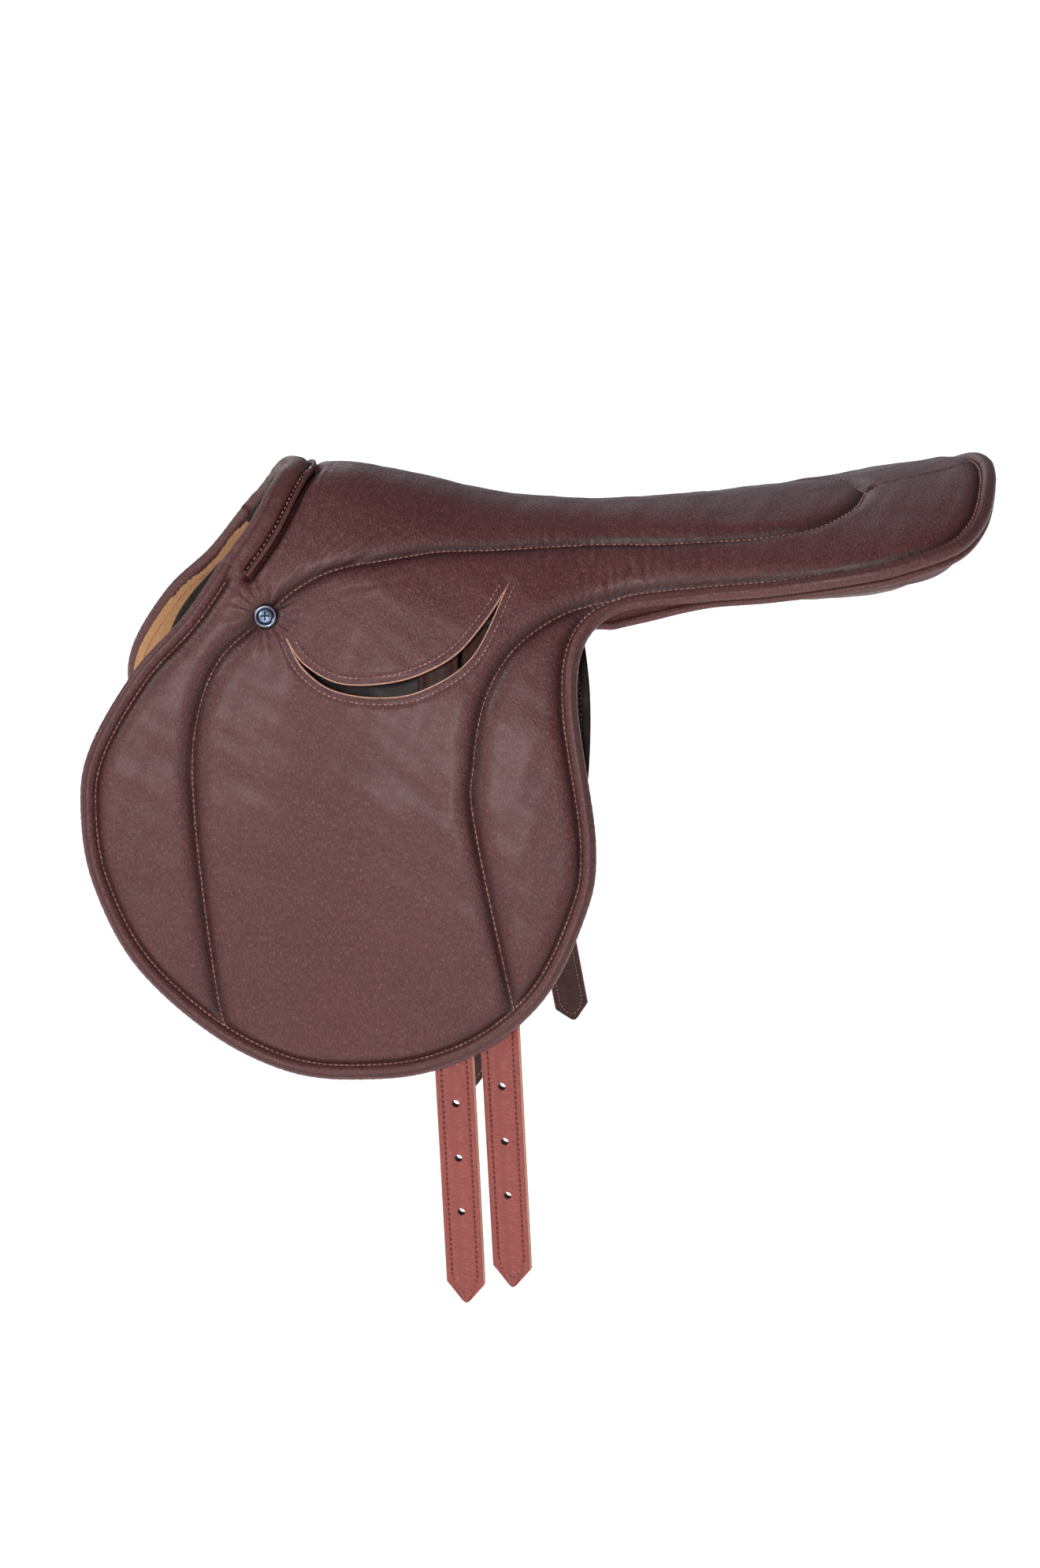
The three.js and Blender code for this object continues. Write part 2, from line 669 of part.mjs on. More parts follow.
function sidePieces(side) {
  const group = new THREE.Group();
  const pads = flapPads();
  const stud = new THREE.Group();
  stud.position.copy(onForm(studPlace.x, -acrossAt(studPlace.x, studPlace.z)));
  stud.rotation.x = slopeAngle(studPlace.x, acrossAt(studPlace.x, studPlace.z));
  const washer = mesh(`stud_washer_${side}`, studWasher(), colours.nickel, ...metal);
  washer.position.z = layerGap;
  stud.add(mesh(`stud_screw_${side}`, studScrew(), colours.nickel, ...metal), washer);
  group.add(
    mesh(`tree_rail_${side}`, treeRail(), colours.wood),
    mesh(`seat_web_${side}`, seatWeb(), colours.webbing),
    mesh(`panel_${side}`, panel(), colours.flapLeather),
    mesh(`sweat_flap_${side}`, sweatFlap(), colours.fleshSide),
    mesh(`flap_backing_${side}`, toGeometry(flapLayer(padDepth, flapDepth)), colours.fleshSide),
    ...Object.entries(pads).map(
      ([name, geometry]) => mesh(`${name}_${side}`, geometry, colours.flapLeather),
    ),
    mesh(`flap_bead_${side}`, flapBead(), colours.beadLeather),
    mesh(`front_bead_${side}`, frontBead(), colours.beadLeather),
    mesh(`skirt_${side}`, skirt(), colours.flapLeather),
    stud,
    stirrupBarPieces(side),
  );
  for (const [place, measures] of Object.entries(billets)) {
    const flare = THREE.MathUtils.degToRad(measures.flare[side]);
    const strap = mesh(`billet_${place}_${side}`, billet(measures, flare), colours.girthLeather);
    strap.position.set(measures.x, 0, billetPivotZ);
    strap.rotation.y = -THREE.MathUtils.degToRad(measures.lean[side]);
    group.add(strap);
  }
  return group;
}

function centrePieces() {
  const group = new THREE.Group();
  group.add(
    mesh("tree_head_arch", arch(32, -42, treeOuterDepth, treeThickness), colours.wood),
    mesh("gullet_plate", arch(24, -24, belowTree, gulletPlateThickness), colours.steel, ...metal),
    mesh("tree_cantle", treeCantle(), colours.wood),
    mesh("cross_web", crossWeb(), colours.webbing),
    mesh("girth_web_front", girthWeb(billets.front.x), colours.webbing),
    mesh("girth_web_rear", girthWeb(billets.rear.x), colours.webbing),
    mesh("channel_lining", channelLining(), colours.blackLeather),
    mesh("seat_foam", seatFoam(), colours.foam),
    mesh("seat_cover", seatCover(), colours.seatLeather),
    mesh("pommel_roll", headBand(0, rollWidth, -1.5, 6.4), colours.seatLeather),
    mesh("pommel_welt", headBand(rollWidth + gap, weltWidth, -1, coverDepth), colours.beadLeather),
    mesh("gullet_lining", headBand(-4, rollWidth + 2, 6.8, 9.2), colours.blackLeather),
    mesh("cantle_bead", rimTube(beadRadius, -beadRadius, beadRadius), colours.beadLeather),
    mesh("panel_bead", rimTube(panelBeadRadius, -1, 12.4), colours.beadLeather),
  );
  return group;
}

const saddle = new THREE.Group();
const rightSide = sidePieces("right");
rightSide.scale.y = -1;
saddle.add(centrePieces(), sidePieces("left"), rightSide);

export default saddle;
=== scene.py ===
"""The looks of an English exercise saddle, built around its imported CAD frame.

Metres. +X runs from the pommel to the cantle, -Y is the near (left) side and +Z is up.
Leather is laid out in the coordinates (x, girth): the station along the saddle, and the distance
from the centre plane measured along the surface. Shapes are worked out for a side with y > 0 and
mirrored for the near side.
"""

import math

import bmesh
import bpy
import numpy as np
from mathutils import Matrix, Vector


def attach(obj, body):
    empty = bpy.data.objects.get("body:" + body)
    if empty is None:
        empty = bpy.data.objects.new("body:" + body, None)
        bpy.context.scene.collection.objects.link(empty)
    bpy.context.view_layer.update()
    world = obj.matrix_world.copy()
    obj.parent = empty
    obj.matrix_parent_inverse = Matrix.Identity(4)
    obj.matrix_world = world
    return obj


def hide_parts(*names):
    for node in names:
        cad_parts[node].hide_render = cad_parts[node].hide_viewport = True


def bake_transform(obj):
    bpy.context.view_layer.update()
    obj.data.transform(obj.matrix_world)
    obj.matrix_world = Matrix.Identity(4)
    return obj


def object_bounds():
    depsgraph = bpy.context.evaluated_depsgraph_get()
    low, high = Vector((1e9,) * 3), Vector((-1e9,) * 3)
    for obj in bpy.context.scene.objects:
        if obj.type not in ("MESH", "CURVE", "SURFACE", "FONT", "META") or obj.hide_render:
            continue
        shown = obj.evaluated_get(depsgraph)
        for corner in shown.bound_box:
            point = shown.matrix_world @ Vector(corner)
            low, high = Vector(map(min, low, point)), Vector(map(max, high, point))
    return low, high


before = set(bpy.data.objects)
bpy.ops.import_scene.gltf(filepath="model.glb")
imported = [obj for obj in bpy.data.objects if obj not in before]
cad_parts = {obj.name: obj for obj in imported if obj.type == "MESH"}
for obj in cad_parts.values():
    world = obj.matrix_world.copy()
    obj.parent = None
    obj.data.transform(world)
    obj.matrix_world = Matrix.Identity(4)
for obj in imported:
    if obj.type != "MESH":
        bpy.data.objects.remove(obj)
cad_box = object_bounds()

SIDES = {"left": -1, "right": 1}

# ------------------------------------------------------------------ driving dimensions

# The form: at each station x the surface falls from the top line by
# REFERENCE_DROP * (across / half_width(x)) ** CROWN_POWER.
CROWN_POWER = 2.24
REFERENCE_DROP = 0.100
TOP_LINE = [
    (-0.144, 0.082), (-0.100, 0.081), (-0.058, 0.072), (-0.010, 0.0615),
    (0.039, 0.0575), (0.112, 0.0595), (0.205, 0.067), (0.252, 0.076), (0.289, 0.087),
]
HALF_WIDTH = [
    (-0.260, 0.086), (-0.150, 0.085), (-0.080, 0.094), (0, 0.104),
    (0.066, 0.107), (0.120, 0.140), (0.200, 0.196), (0.245, 0.198), (0.289, 0.140),
]

# Edges and seams, seen from the side as (x, z) or, for the rim of the seat, as (x, across).
HEAD_EDGE = [(-0.144, 0.084), (-0.161, 0.063), (-0.1785, 0.0405)]
FLAP_EDGE = [
    (-0.201, 0.010), (-0.231, -0.021), (-0.258, -0.065), (-0.264, -0.100), (-0.257, -0.146),
    (-0.229, -0.199), (-0.172, -0.247), (-0.110, -0.261), (-0.045, -0.248), (0.010, -0.210),
    (0.039, -0.158), (0.046, -0.115), (0.035, -0.038), (0.041, -0.002),
]
RIM_EDGE = [
    (0.066, 0.074), (0.110, 0.084), (0.150, 0.095), (0.190, 0.102),
    (0.225, 0.102), (0.258, 0.091), (0.278, 0.066), (0.288, 0.030),
]
RIM_END = 0.291
SEAT_SEAM = [
    (-0.152, 0.009), (-0.135, 0.0235), (-0.115, 0.034), (-0.086, 0.040), (-0.038, 0.0445),
    (0.040, 0.0455), (0.095, 0.048), (0.145, 0.0535), (0.180, 0.0595), (0.203, 0.0655), (0.213, 0.071),
]
SEAT_SEAM_END = 0.215
KNEE_SEAM = [
    (-0.152, 0.009), (-0.181, -0.017), (-0.195, -0.058), (-0.195, -0.111),
    (-0.184, -0.209), (-0.177, -0.238),
]
THIGH_SEAM = [
    (0.088, 0.0255), (0.060, 0.0190), (0.0335, 0.0134), (0.0125, 0.0045), (-0.007, -0.011),
    (-0.0215, -0.037), (-0.0275, -0.072), (-0.027, -0.103),
    (-0.005, -0.203), (-0.001, -0.212),
]
SLOT_LIP = [
    (-0.139, -0.003), (-0.130, -0.019), (-0.112, -0.031), (-0.087, -0.0345), (-0.057, -0.030),
    (-0.027, -0.011), (-0.006, 0.027),
]
SKIRT_EDGE = [
    (-0.139, -0.003), (-0.127, -0.0175), (-0.104, -0.0268), (-0.073, -0.0245), (-0.042, -0.0123),
    (-0.022, 0.0065), (-0.006, 0.027),
]
STUD = (-0.152, 0.009)

# Leather, beads and stitches.
GRID = 0.00135
BEAD_RADIUS = 0.0044
ROLL_WIDTH = 0.017
WELT_WIDTH = 0.0035
FLAP_THICKNESS = 0.009
SKIRT_THICKNESS = 0.0046
COVER_MARGIN = 0.0082
PUFF_HEIGHT = 0.0050
SEAM_SINK = 0.0040
SEAM_FLAT = 0.0011
LIP_SEAM = 0.0036
STITCH_PITCH = 0.0034
STITCH_LENGTH = 0.0024
STITCH_RADIUS = 0.00042

random = np.random.default_rng(7)

# ------------------------------------------------------------------ the form


def through(stations):
    """A smooth function through (x, value) stations, level beyond the first and last one."""
    places, values = np.array(stations, float).T
    index = np.arange(len(places))
    before = np.maximum(index - 1, 0)
    after = np.minimum(index + 1, len(places) - 1)
    slopes = (values[after] - values[before]) / (places[after] - places[before])

    def value(x):
        x = np.clip(x, places[0], places[-1])
        i = np.clip(np.searchsorted(places, x, side="right") - 1, 0, len(places) - 2)
        length = places[i + 1] - places[i]
        t = (x - places[i]) / length
        start = (2 * t**3 - 3 * t**2 + 1) * values[i] + (t**3 - 2 * t**2 + t) * length * slopes[i]
        end = (3 * t**2 - 2 * t**3) * values[i + 1] + (t**3 - t**2) * length * slopes[i + 1]
        return start + end

    return value


top_line = through(TOP_LINE)
half_width = through(HALF_WIDTH)


def slope_angle(x, across):
    """The angle of the surface below the horizontal, across the saddle."""
    width = half_width(x)
    ratio = np.abs(across) / width
    return np.arctan(CROWN_POWER * REFERENCE_DROP * ratio ** (CROWN_POWER - 1) / width)


def on_form(x, across, depth=0.0):
    """Points of the form, sunk by depth along its normal."""
    x, across, depth = np.broadcast_arrays(x, across, depth)
    angle = slope_angle(x, across)
    z = top_line(x) - REFERENCE_DROP * (np.abs(across) / half_width(x)) ** CROWN_POWER
    sunk = across - np.sign(across) * depth * np.sin(angle)
    return np.stack([x, sunk, z - depth * np.cos(angle)], axis=-1)


def across_at(x, z):
    """The distance from the centre plane at which the form passes height z."""
    drop = np.maximum(top_line(x) - z, 0) / REFERENCE_DROP
    return half_width(x) * drop ** (1 / CROWN_POWER)


def across_at_depth(x, z, depth):
    """The same for a layer sunk below the form."""
    surface_z = z
    for _ in range(4):
        surface_z = z + depth * np.cos(slope_angle(x, across_at(x, surface_z)))
    across = across_at(x, surface_z)
    return across - depth * np.sin(slope_angle(x, across))


# Tables that turn a girth into a distance across, and back, at any station.
TABLE_FIRST, TABLE_LAST, TABLE_STEP = -0.272, 0.304, 0.004
VALUE_STEP = 0.0005
VALUE_COUNT = 900


def girth_tables():
    stations = np.arange(TABLE_FIRST, TABLE_LAST + TABLE_STEP / 2, TABLE_STEP)
    values = np.arange(VALUE_COUNT) * VALUE_STEP
    girths, crossings = [], []
    for station in stations:
        drop = REFERENCE_DROP * (values / half_width(station)) ** CROWN_POWER
        steps = np.hypot(np.diff(values), np.diff(drop))
        girth = np.concatenate([[0], np.cumsum(steps)])
        girths.append(girth)
        crossings.append(np.interp(values, girth, values))
    return np.array(girths), np.array(crossings)


def looked_up(table):
    """A function of (x, value) from one of the tables."""

    def value_at(x, value):
        i = np.clip((x - TABLE_FIRST) / TABLE_STEP, 0, table.shape[0] - 1.001)
        j = np.clip(value / VALUE_STEP, 0, table.shape[1] - 1.001)
        i0, j0 = np.floor(i).astype(int), np.floor(j).astype(int)
        low = table[i0, j0] * (1 - i + i0) + table[i0 + 1, j0] * (i - i0)
        high = table[i0, j0 + 1] * (1 - i + i0) + table[i0 + 1, j0 + 1] * (i - i0)
        return low * (1 - j + j0) + high * (j - j0)

    return value_at


girth_of, across_of = map(looked_up, girth_tables())


def laid(x, girth, depth=0.0):
    """Points of the form at (x, girth), sunk by depth."""
    return on_form(x, across_of(x, girth), depth)


def normals_at(x, girth):
    """Outward normals of the form, from its slope along and across."""
    step = 0.001
    along = laid(x + step, girth) - laid(x - step, girth)
    around = laid(x, girth + step) - laid(x, np.maximum(girth - step, 0))
    return unit(np.cross(around, along) * -1)


def unit(vectors):
    length = np.linalg.norm(vectors, axis=-1, keepdims=True)
    return vectors / np.maximum(length, 1e-12)


# ------------------------------------------------------------------ lines on the form


def smooth(points, spacing=0.003):
    """An even Catmull-Rom line through a few points of any number of coordinates."""
    points = np.array(points, float)
    padded = np.concatenate([points[:1], points, points[-1:]])
    t = np.linspace(0, 1, 24, endpoint=False)[:, None]
    pieces = []
    for a, b, c, d in zip(padded, padded[1:], padded[2:], padded[3:]):
        pieces.append(0.5 * (
            2 * b + (c - a) * t + (2 * a - 5 * b + 4 * c - d) * t**2 + (3 * b - a - 3 * c + d) * t**3
        ))
    return evenly(np.concatenate([*pieces, points[-1:]]), spacing)


def lengths_along(points):
    """The distance along a line to each of its points."""
    return np.concatenate([[0], np.cumsum(np.linalg.norm(np.diff(points, axis=0), axis=1))])


def evenly(points, spacing):
    """The same line with its points spaced evenly, about spacing apart."""
    lengths = lengths_along(points)
    count = max(int(round(lengths[-1] / spacing)), 2)
    places = np.linspace(0, lengths[-1], count + 1)
    return np.stack([np.interp(places, lengths, column) for column in points.T], axis=-1)


def unrolled(points):
    """(x, z) points as (x, girth)."""
    x, z = np.array(points, float).T
    return np.stack([x, girth_of(x, across_at(x, z))], axis=-1)


def unrolled_rim(points):
    """(x, across) points as (x, girth)."""
    x, across = np.array(points, float).T
    return np.stack([x, girth_of(x, across)], axis=-1)


def moved_in(line, distance):
    """A line moved to its left as seen from the side, along its own direction."""
    tangent = unit(np.gradient(line, axis=0))
    left = np.stack([tangent[:, 1], -tangent[:, 0]], axis=-1)
    return line + np.broadcast_to(distance, len(line))[:, None] * left


def distance_to(line, x, girth):
    """The distance from many places to a line, and the share of its length at the nearest point."""
    best = np.full(np.shape(x), np.inf)
    share = np.zeros(np.shape(x))
    count = len(line) - 1
    for i, (a, b) in enumerate(zip(line, line[1:])):
        step = b - a
        t = np.clip(((x - a[0]) * step[0] + (girth - a[1]) * step[1]) / (step @ step), 0, 1)
        away = np.hypot(x - a[0] - t * step[0], girth - a[1] - t * step[1])
        nearer = away < best
        best = np.where(nearer, away, best)
        share = np.where(nearer, (i + t) / count, share)
    return best, share


def nearest_on(line, x, girth):
    """The nearest points of a line."""
    best = np.full(np.shape(x), np.inf)
    found = np.stack([x, girth], axis=-1)
    for a, b in zip(line, line[1:]):
        step = b - a
        t = np.clip(((x - a[0]) * step[0] + (girth - a[1]) * step[1]) / (step @ step), 0, 1)
        place = np.stack([a[0] + t * step[0], a[1] + t * step[1]], axis=-1)
        away = np.hypot(x - place[..., 0], girth - place[..., 1])
        nearer = away < best
        best = np.where(nearer, away, best)
        found = np.where(nearer[..., None], place, found)
    return found


def inside(polygon, x, girth):
    """Whether places lie inside a closed outline."""
    within = np.zeros(np.shape(x), bool)
    for (x0, g0), (x1, g1) in zip(polygon, np.roll(polygon, -1, axis=0)):
        if g0 == g1:
            continue
        crossing = x0 + (girth - g0) * (x1 - x0) / (g1 - g0)
        within ^= ((g0 > girth) != (g1 > girth)) & (x < crossing)
    return within


# The whole hem: down the head, round the flap and along the rim of the seat to the cantle.
hem = smooth(
    np.concatenate([
        unrolled(HEAD_EDGE + FLAP_EDGE),
        unrolled_rim(RIM_EDGE + [(RIM_END, 0)]),
    ])
)
hem_z = laid(*hem.T)[:, 2]
roll_end = int(np.argmax(hem_z < HEAD_EDGE[-1][1]))
head_margin = np.where(
    np.arange(len(hem)) < roll_end, ROLL_WIDTH + WELT_WIDTH, COVER_MARGIN
)
cover_edge = moved_in(hem, head_margin)
cover_edge[-1, 1] = 0
cover_outline = np.concatenate([cover_edge, [(cover_edge[0, 0], 0)]])
border_seam = moved_in(hem[roll_end + 3:], COVER_MARGIN + 0.0012)
head_seam = moved_in(hem[:roll_end + 1], ROLL_WIDTH + WELT_WIDTH + 0.0004)
roll_seam = moved_in(hem[:roll_end + 1], ROLL_WIDTH - 0.0002)
seat_seam = smooth(np.concatenate([unrolled(SEAT_SEAM), [(SEAT_SEAM_END, 0)]]))
knee_seam = smooth(unrolled(KNEE_SEAM))
thigh_seam = smooth(unrolled(THIGH_SEAM))
slot_lip = smooth(unrolled(SLOT_LIP), 0.002)
skirt_edge = smooth(unrolled(SKIRT_EDGE), 0.002)
slot_seam = moved_in(slot_lip, -LIP_SEAM)
skirt_seam = moved_in(skirt_edge, LIP_SEAM)
cantle_crease = np.array([(SEAT_SEAM_END, 0.0), (0.284, 0.0)])
stud_place = unrolled([STUD])[0]

# The skirt's fold line joins the two ends of the slot; its leather starts a little above it.
SKIRT_FOLD_RISE = 0.008


def above_fold(line):
    """The two ends of a lip, raised from its fold line."""
    ends = line[[-1, 0]]
    along = unit(ends[1] - ends[0])
    rise = np.array([along[1], -along[0]]) * SKIRT_FOLD_RISE
    return ends + (rise if rise[1] < 0 else -rise)


slot_outline = np.concatenate([slot_lip, above_fold(slot_lip)])
skirt_outline = np.concatenate([skirt_edge, above_fold(slot_lip)])

# ------------------------------------------------------------------ the padded surface


def rounded(distance, width):
    """0 on a seam, rising round to 1 at width from it."""
    t = np.clip(distance / width, 0, 1)
    return (1 - (1 - t) ** 2) ** 0.6


def eased(value, low, high):
    t = np.clip((value - low) / (high - low), 0, 1)
    return t * t * (3 - 2 * t)


def dent(distance, width):
    """1 on a line, fading smoothly away from it."""
    return np.exp(-((distance / width) ** 2))


def crease(start, end, bend, depth, width):
    """A creased line between two places, bent sideways in its middle."""
    start, end = np.array(start), np.array(end)
    middle = (start + end) / 2 + bend * np.array([start[1] - end[1], end[0] - start[0]])
    return smooth([start, middle, end], 0.003), depth, width


def stud_fan():
    """Creases that fan out from the stud, up towards the seat."""
    for i in range(40):
        turn = math.radians(-92 + 1.9 * i + random.uniform(-0.9, 0.9))
        ray = np.array([math.cos(turn), math.sin(turn)])
        near, far = random.uniform(0.014, 0.050), random.uniform(0.060, 0.130)
        yield crease(
            stud_place + ray * near, stud_place + ray * far, random.uniform(0.02, 0.10),
            random.uniform(0.00035, 0.00075), random.uniform(0.0013, 0.0019),
        )


def waist_creases():
    """Short upright creases across the narrow waist."""
    for i in range(64):
        x = 0.002 + 0.0024 * i + random.uniform(-0.0015, 0.0015)
        top = random.uniform(0.026, 0.062)
        foot = top + random.uniform(0.016, 0.036)
        strength = 1.25 - abs(x - 0.060) / 0.090
        yield crease(
            (x, top), (x + random.uniform(-0.004, 0.006), foot), random.uniform(-0.08, 0.08),
            strength * random.uniform(0.00030, 0.00085), random.uniform(0.0013, 0.0020),
        )


def seam_creases():
    """Small tucks that run out of the quilting seams."""
    for i in range(44):
        line = (seat_seam, knee_seam, thigh_seam)[i % 3]
        at = line[int(random.uniform(0.12, 0.92) * len(line))]
        turn = random.uniform(0, 2 * math.pi)
        reach = random.uniform(0.004, 0.009) * np.array([math.cos(turn), math.sin(turn)])
        yield crease(at - reach, at + reach, 0.05, random.uniform(0.0002, 0.0004), 0.0014)


def wrinkle_lines():
    """Creases worn into the leather, as (line, depth, width)."""
    return [*stud_fan(), *waist_creases(), *seam_creases()]


WRINKLES = wrinkle_lines()


def wrinkled(x, girth):
    total = np.zeros(np.shape(x))
    for line, depth, width in WRINKLES:
        low, high = line.min(axis=0) - 4 * width, line.max(axis=0) + 4 * width
        near = (x > low[0]) & (x < high[0]) & (girth > low[1]) & (girth < high[1])
        if not near.any():
            continue
        away, share = distance_to(line, x[near], girth[near])
        fade = np.sin(np.pi * np.clip(share, 0.02, 0.98)) ** 0.8
        total[near] -= depth * fade * (dent(away, width) - 0.45 * dent(away, 2.2 * width))
    return total


LUMPS = [(0.090, 0.0004), (0.052, 0.0003), (0.031, 0.00020), (0.019, 0.00012)]


def uneven(x, girth):
    """Gentle lumps of hand-stuffed padding, each of LUMPS a (length, height) of waves."""
    total = np.zeros(np.shape(x))
    for i, (length, height) in enumerate(LUMPS):
        turn = 0.9 + 1.7 * i
        u = x * math.cos(turn) + girth * math.sin(turn)
        v = girth * math.cos(turn) - x * math.sin(turn)
        wave = np.sin(2 * np.pi * u / length + i)
        total += height * wave * np.cos(2 * np.pi * v / (1.3 * length) - 2 * i)
    return total


def stud_pleats(x, girth):
    """The dimple under the stud, and the pleats that run into it."""
    away = np.hypot(x - stud_place[0], girth - stud_place[1])
    turn = np.arctan2(girth - stud_place[1], x - stud_place[0])
    pleat = np.cos(17 * turn + 0.9 * np.sin(3 * turn)) * dent(away - 0.013, 0.0085)
    return -0.0018 * dent(away, 0.013) + 0.0005 * pleat


def length_of(line):
    return np.linalg.norm(np.diff(line, axis=0), axis=1).sum()


def cover_height(x, girth):
    """How far the leather stands above the form, and its share of the full padding."""
    quilting = [
        (border_seam, 0.010), (head_seam, 0.009), (seat_seam, 0.011), (knee_seam, 0.012),
        (thigh_seam, 0.012),
    ]
    padding = np.ones(np.shape(x))
    groove = np.zeros(np.shape(x))
    tucks = np.zeros(np.shape(x))
    for line, width in quilting:
        away, share = distance_to(line, x, girth)
        padding *= rounded(np.maximum(away - SEAM_FLAT, 0), width)
        groove = np.maximum(groove, dent(away, 0.0022))
        tucks += np.cos(2 * np.pi * share * length_of(line) / STITCH_PITCH) * dent(away - 0.0034, 0.0022)
    height = PUFF_HEIGHT * padding - SEAM_SINK
    for line, depth, width in ((slot_seam, 0.0007, 0.0016), (skirt_seam, 0.0007, 0.0016)):
        height -= depth * dent(distance_to(line, x, girth)[0], width)
    at_lip = np.zeros(np.shape(x))
    for line in (slot_lip, skirt_edge):
        at_lip = np.maximum(at_lip, dent(distance_to(line, x, girth)[0], 0.0018))
    height -= 0.0009 * dent(distance_to(cantle_crease, x, girth)[0], 0.0018) + 0.0009 * at_lip
    height += uneven(x, girth) * padding * (1 - at_lip) + 0.00022 * tucks
    height += wrinkled(x, girth) + stud_pleats(x, girth)
    # the relief drops along the quilting seams, so the leather material paints shade into the colour there
    return height, np.clip(0.5 + (height - 0.001) / 0.006 - 0.35 * groove, 0, 1)


def cover_points(x, girth, lift=0.0):
    """Points lift above the padded surface."""
    return laid(x, girth, -cover_height(x, girth)[0] - lift)


# ------------------------------------------------------------------ making objects


def new_piece(name, points, faces, side, material):
    """An object from points for y > 0 and faces, mirrored where side is -1."""
    points = np.array(points, float)
    points[:, 1] *= side
    mesh = bpy.data.meshes.new(name)
    mesh.from_pydata(points.tolist(), [], [face if side > 0 else face[::-1] for face in faces])
    mesh.shade_smooth()
    piece = bpy.data.objects.new(name, mesh)
    bpy.context.scene.collection.objects.link(piece)
    mesh.materials.append(material)
    return piece


def set_layout(piece, layout):
    """Stores a flat layout, in metres, as the UV map that grain and weave follow."""
    mesh = piece.data
    corners = np.zeros(len(mesh.loops), int)
    mesh.loops.foreach_get("vertex_index", corners)
    layer = mesh.uv_layers.new(name="layout")
    layer.data.foreach_set("uv", np.array(layout, float)[corners].ravel())


def set_relief(piece, relief):
    """Stores how high each point stands in the padding, for wear on crests and painted shade in the
    grooves.
    """
    attribute = piece.data.attributes.new("relief", "FLOAT", "POINT")
    attribute.data.foreach_set("value", np.array(relief, np.float32))


def tidy_shell(piece, merge=1e-6):
    """Merges doubled points and turns every face of a closed shell outwards."""
    shell = bmesh.new()
    shell.from_mesh(piece.data)
    bmesh.ops.remove_doubles(shell, verts=shell.verts, dist=merge)
    bmesh.ops.recalc_face_normals(shell, faces=shell.faces)
    shell.to_mesh(piece.data)
    shell.free()
    return piece


def finished(piece, replaces=()):
    if replaces:
        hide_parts(*replaces)
    return piece


def grid_faces(rows, columns, closed=False):
    """Quads of a lattice stored row by row; closed joins the last column to the first."""
    faces = []
    for i in range(rows - 1):
        for j in range(columns if closed else columns - 1):
            k = (j + 1) % columns
            faces.append((i * columns + j, i * columns + k, (i + 1) * columns + k, (i + 1) * columns + j))
    return faces


def swept(name, path, normals, section, side, material):
    """A section, as (out, across) offsets, swept along a path with given outward normals.

    section is one outline or a function of the share of the path's length.
    """
    path = np.array(path)
    tangent = unit(np.gradient(path, axis=0))
    across = unit(np.cross(tangent, normals))
    out = np.cross(across, tangent)
    shares = np.linspace(0, 1, len(path))
    outlines = [np.array(section(share) if callable(section) else section) for share in shares]
    count = len(outlines[0])
    points = np.concatenate([
        centre + outline[:, :1] * o + outline[:, 1:] * a
        for centre, outline, o, a in zip(path, outlines, out, across)
    ])
    faces = grid_faces(len(path), count, closed=True)
    faces.append(tuple(range(count)))
    faces.append(tuple(range(len(points) - 1, len(points) - count - 1, -1)))
    piece = new_piece(name, points, faces, side, material)
    set_layout(piece, [(u, v) for u in lengths_along(path) for v in lengths_along(outlines[0])])
    return finished(tidy_shell(piece))


def pillow(half_out, half_across, count=20, power=2.0):
    """A rounded section: an ellipse at power 2, nearer to a rectangle above it."""
    turns = np.arange(count) * 2 * np.pi / count
    out, across = np.cos(turns), np.sin(turns)
    return np.stack([
        half_out * np.sign(out) * np.abs(out) ** (2 / power),
        half_across * np.sign(across) * np.abs(across) ** (2 / power),
    ], axis=-1)


def closed_layer(name, x, across, top, bottom, side, material):
    """A closed piece between two depths of the form, over a lattice of stations and distances."""
    rows, columns = x.shape
    count = rows * columns
    points = np.concatenate([on_form(x, across, depth).reshape(-1, 3) for depth in (top, bottom)])
    upper = grid_faces(rows, columns)
    faces = upper + [tuple(count + k for k in face[::-1]) for face in upper]
    border = list(range(columns))
    border += [i * columns + columns - 1 for i in range(1, rows)]
    border += [(rows - 1) * columns + j for j in range(columns - 2, -1, -1)]
    border += [i * columns for i in range(rows - 2, 0, -1)]
    for a, b in zip(border, border[1:] + border[:1]):
        faces.append((a, b, count + b, count + a))
    piece = new_piece(name, points, faces, side, material)
    girth = girth_of(x, np.abs(across)) * np.sign(across)
    layout = np.stack([x.ravel(), girth.ravel()], axis=-1)
    set_layout(piece, np.concatenate([layout, layout]))
    return finished(tidy_shell(piece))


def on_cover(x, girth):
    """Where a stitch lies on the padded surface."""
    return cover_points(x, girth, 0.0004)


def stitches(name, line, side, material, surface=on_cover):
    """A row of stitches along a line in (x, girth), lying on a surface."""
    rail = evenly(line, STITCH_PITCH)
    middles = (rail[1:] + rail[:-1]) / 2
    directions = unit(rail[1:] - rail[:-1])
    half = directions * STITCH_LENGTH / 2
    starts = surface(*(middles - half).T)
    ends = surface(*(middles + half).T)
    crown = normals_at(*middles.T)
    return thread(name, starts, ends, crown, side, material)


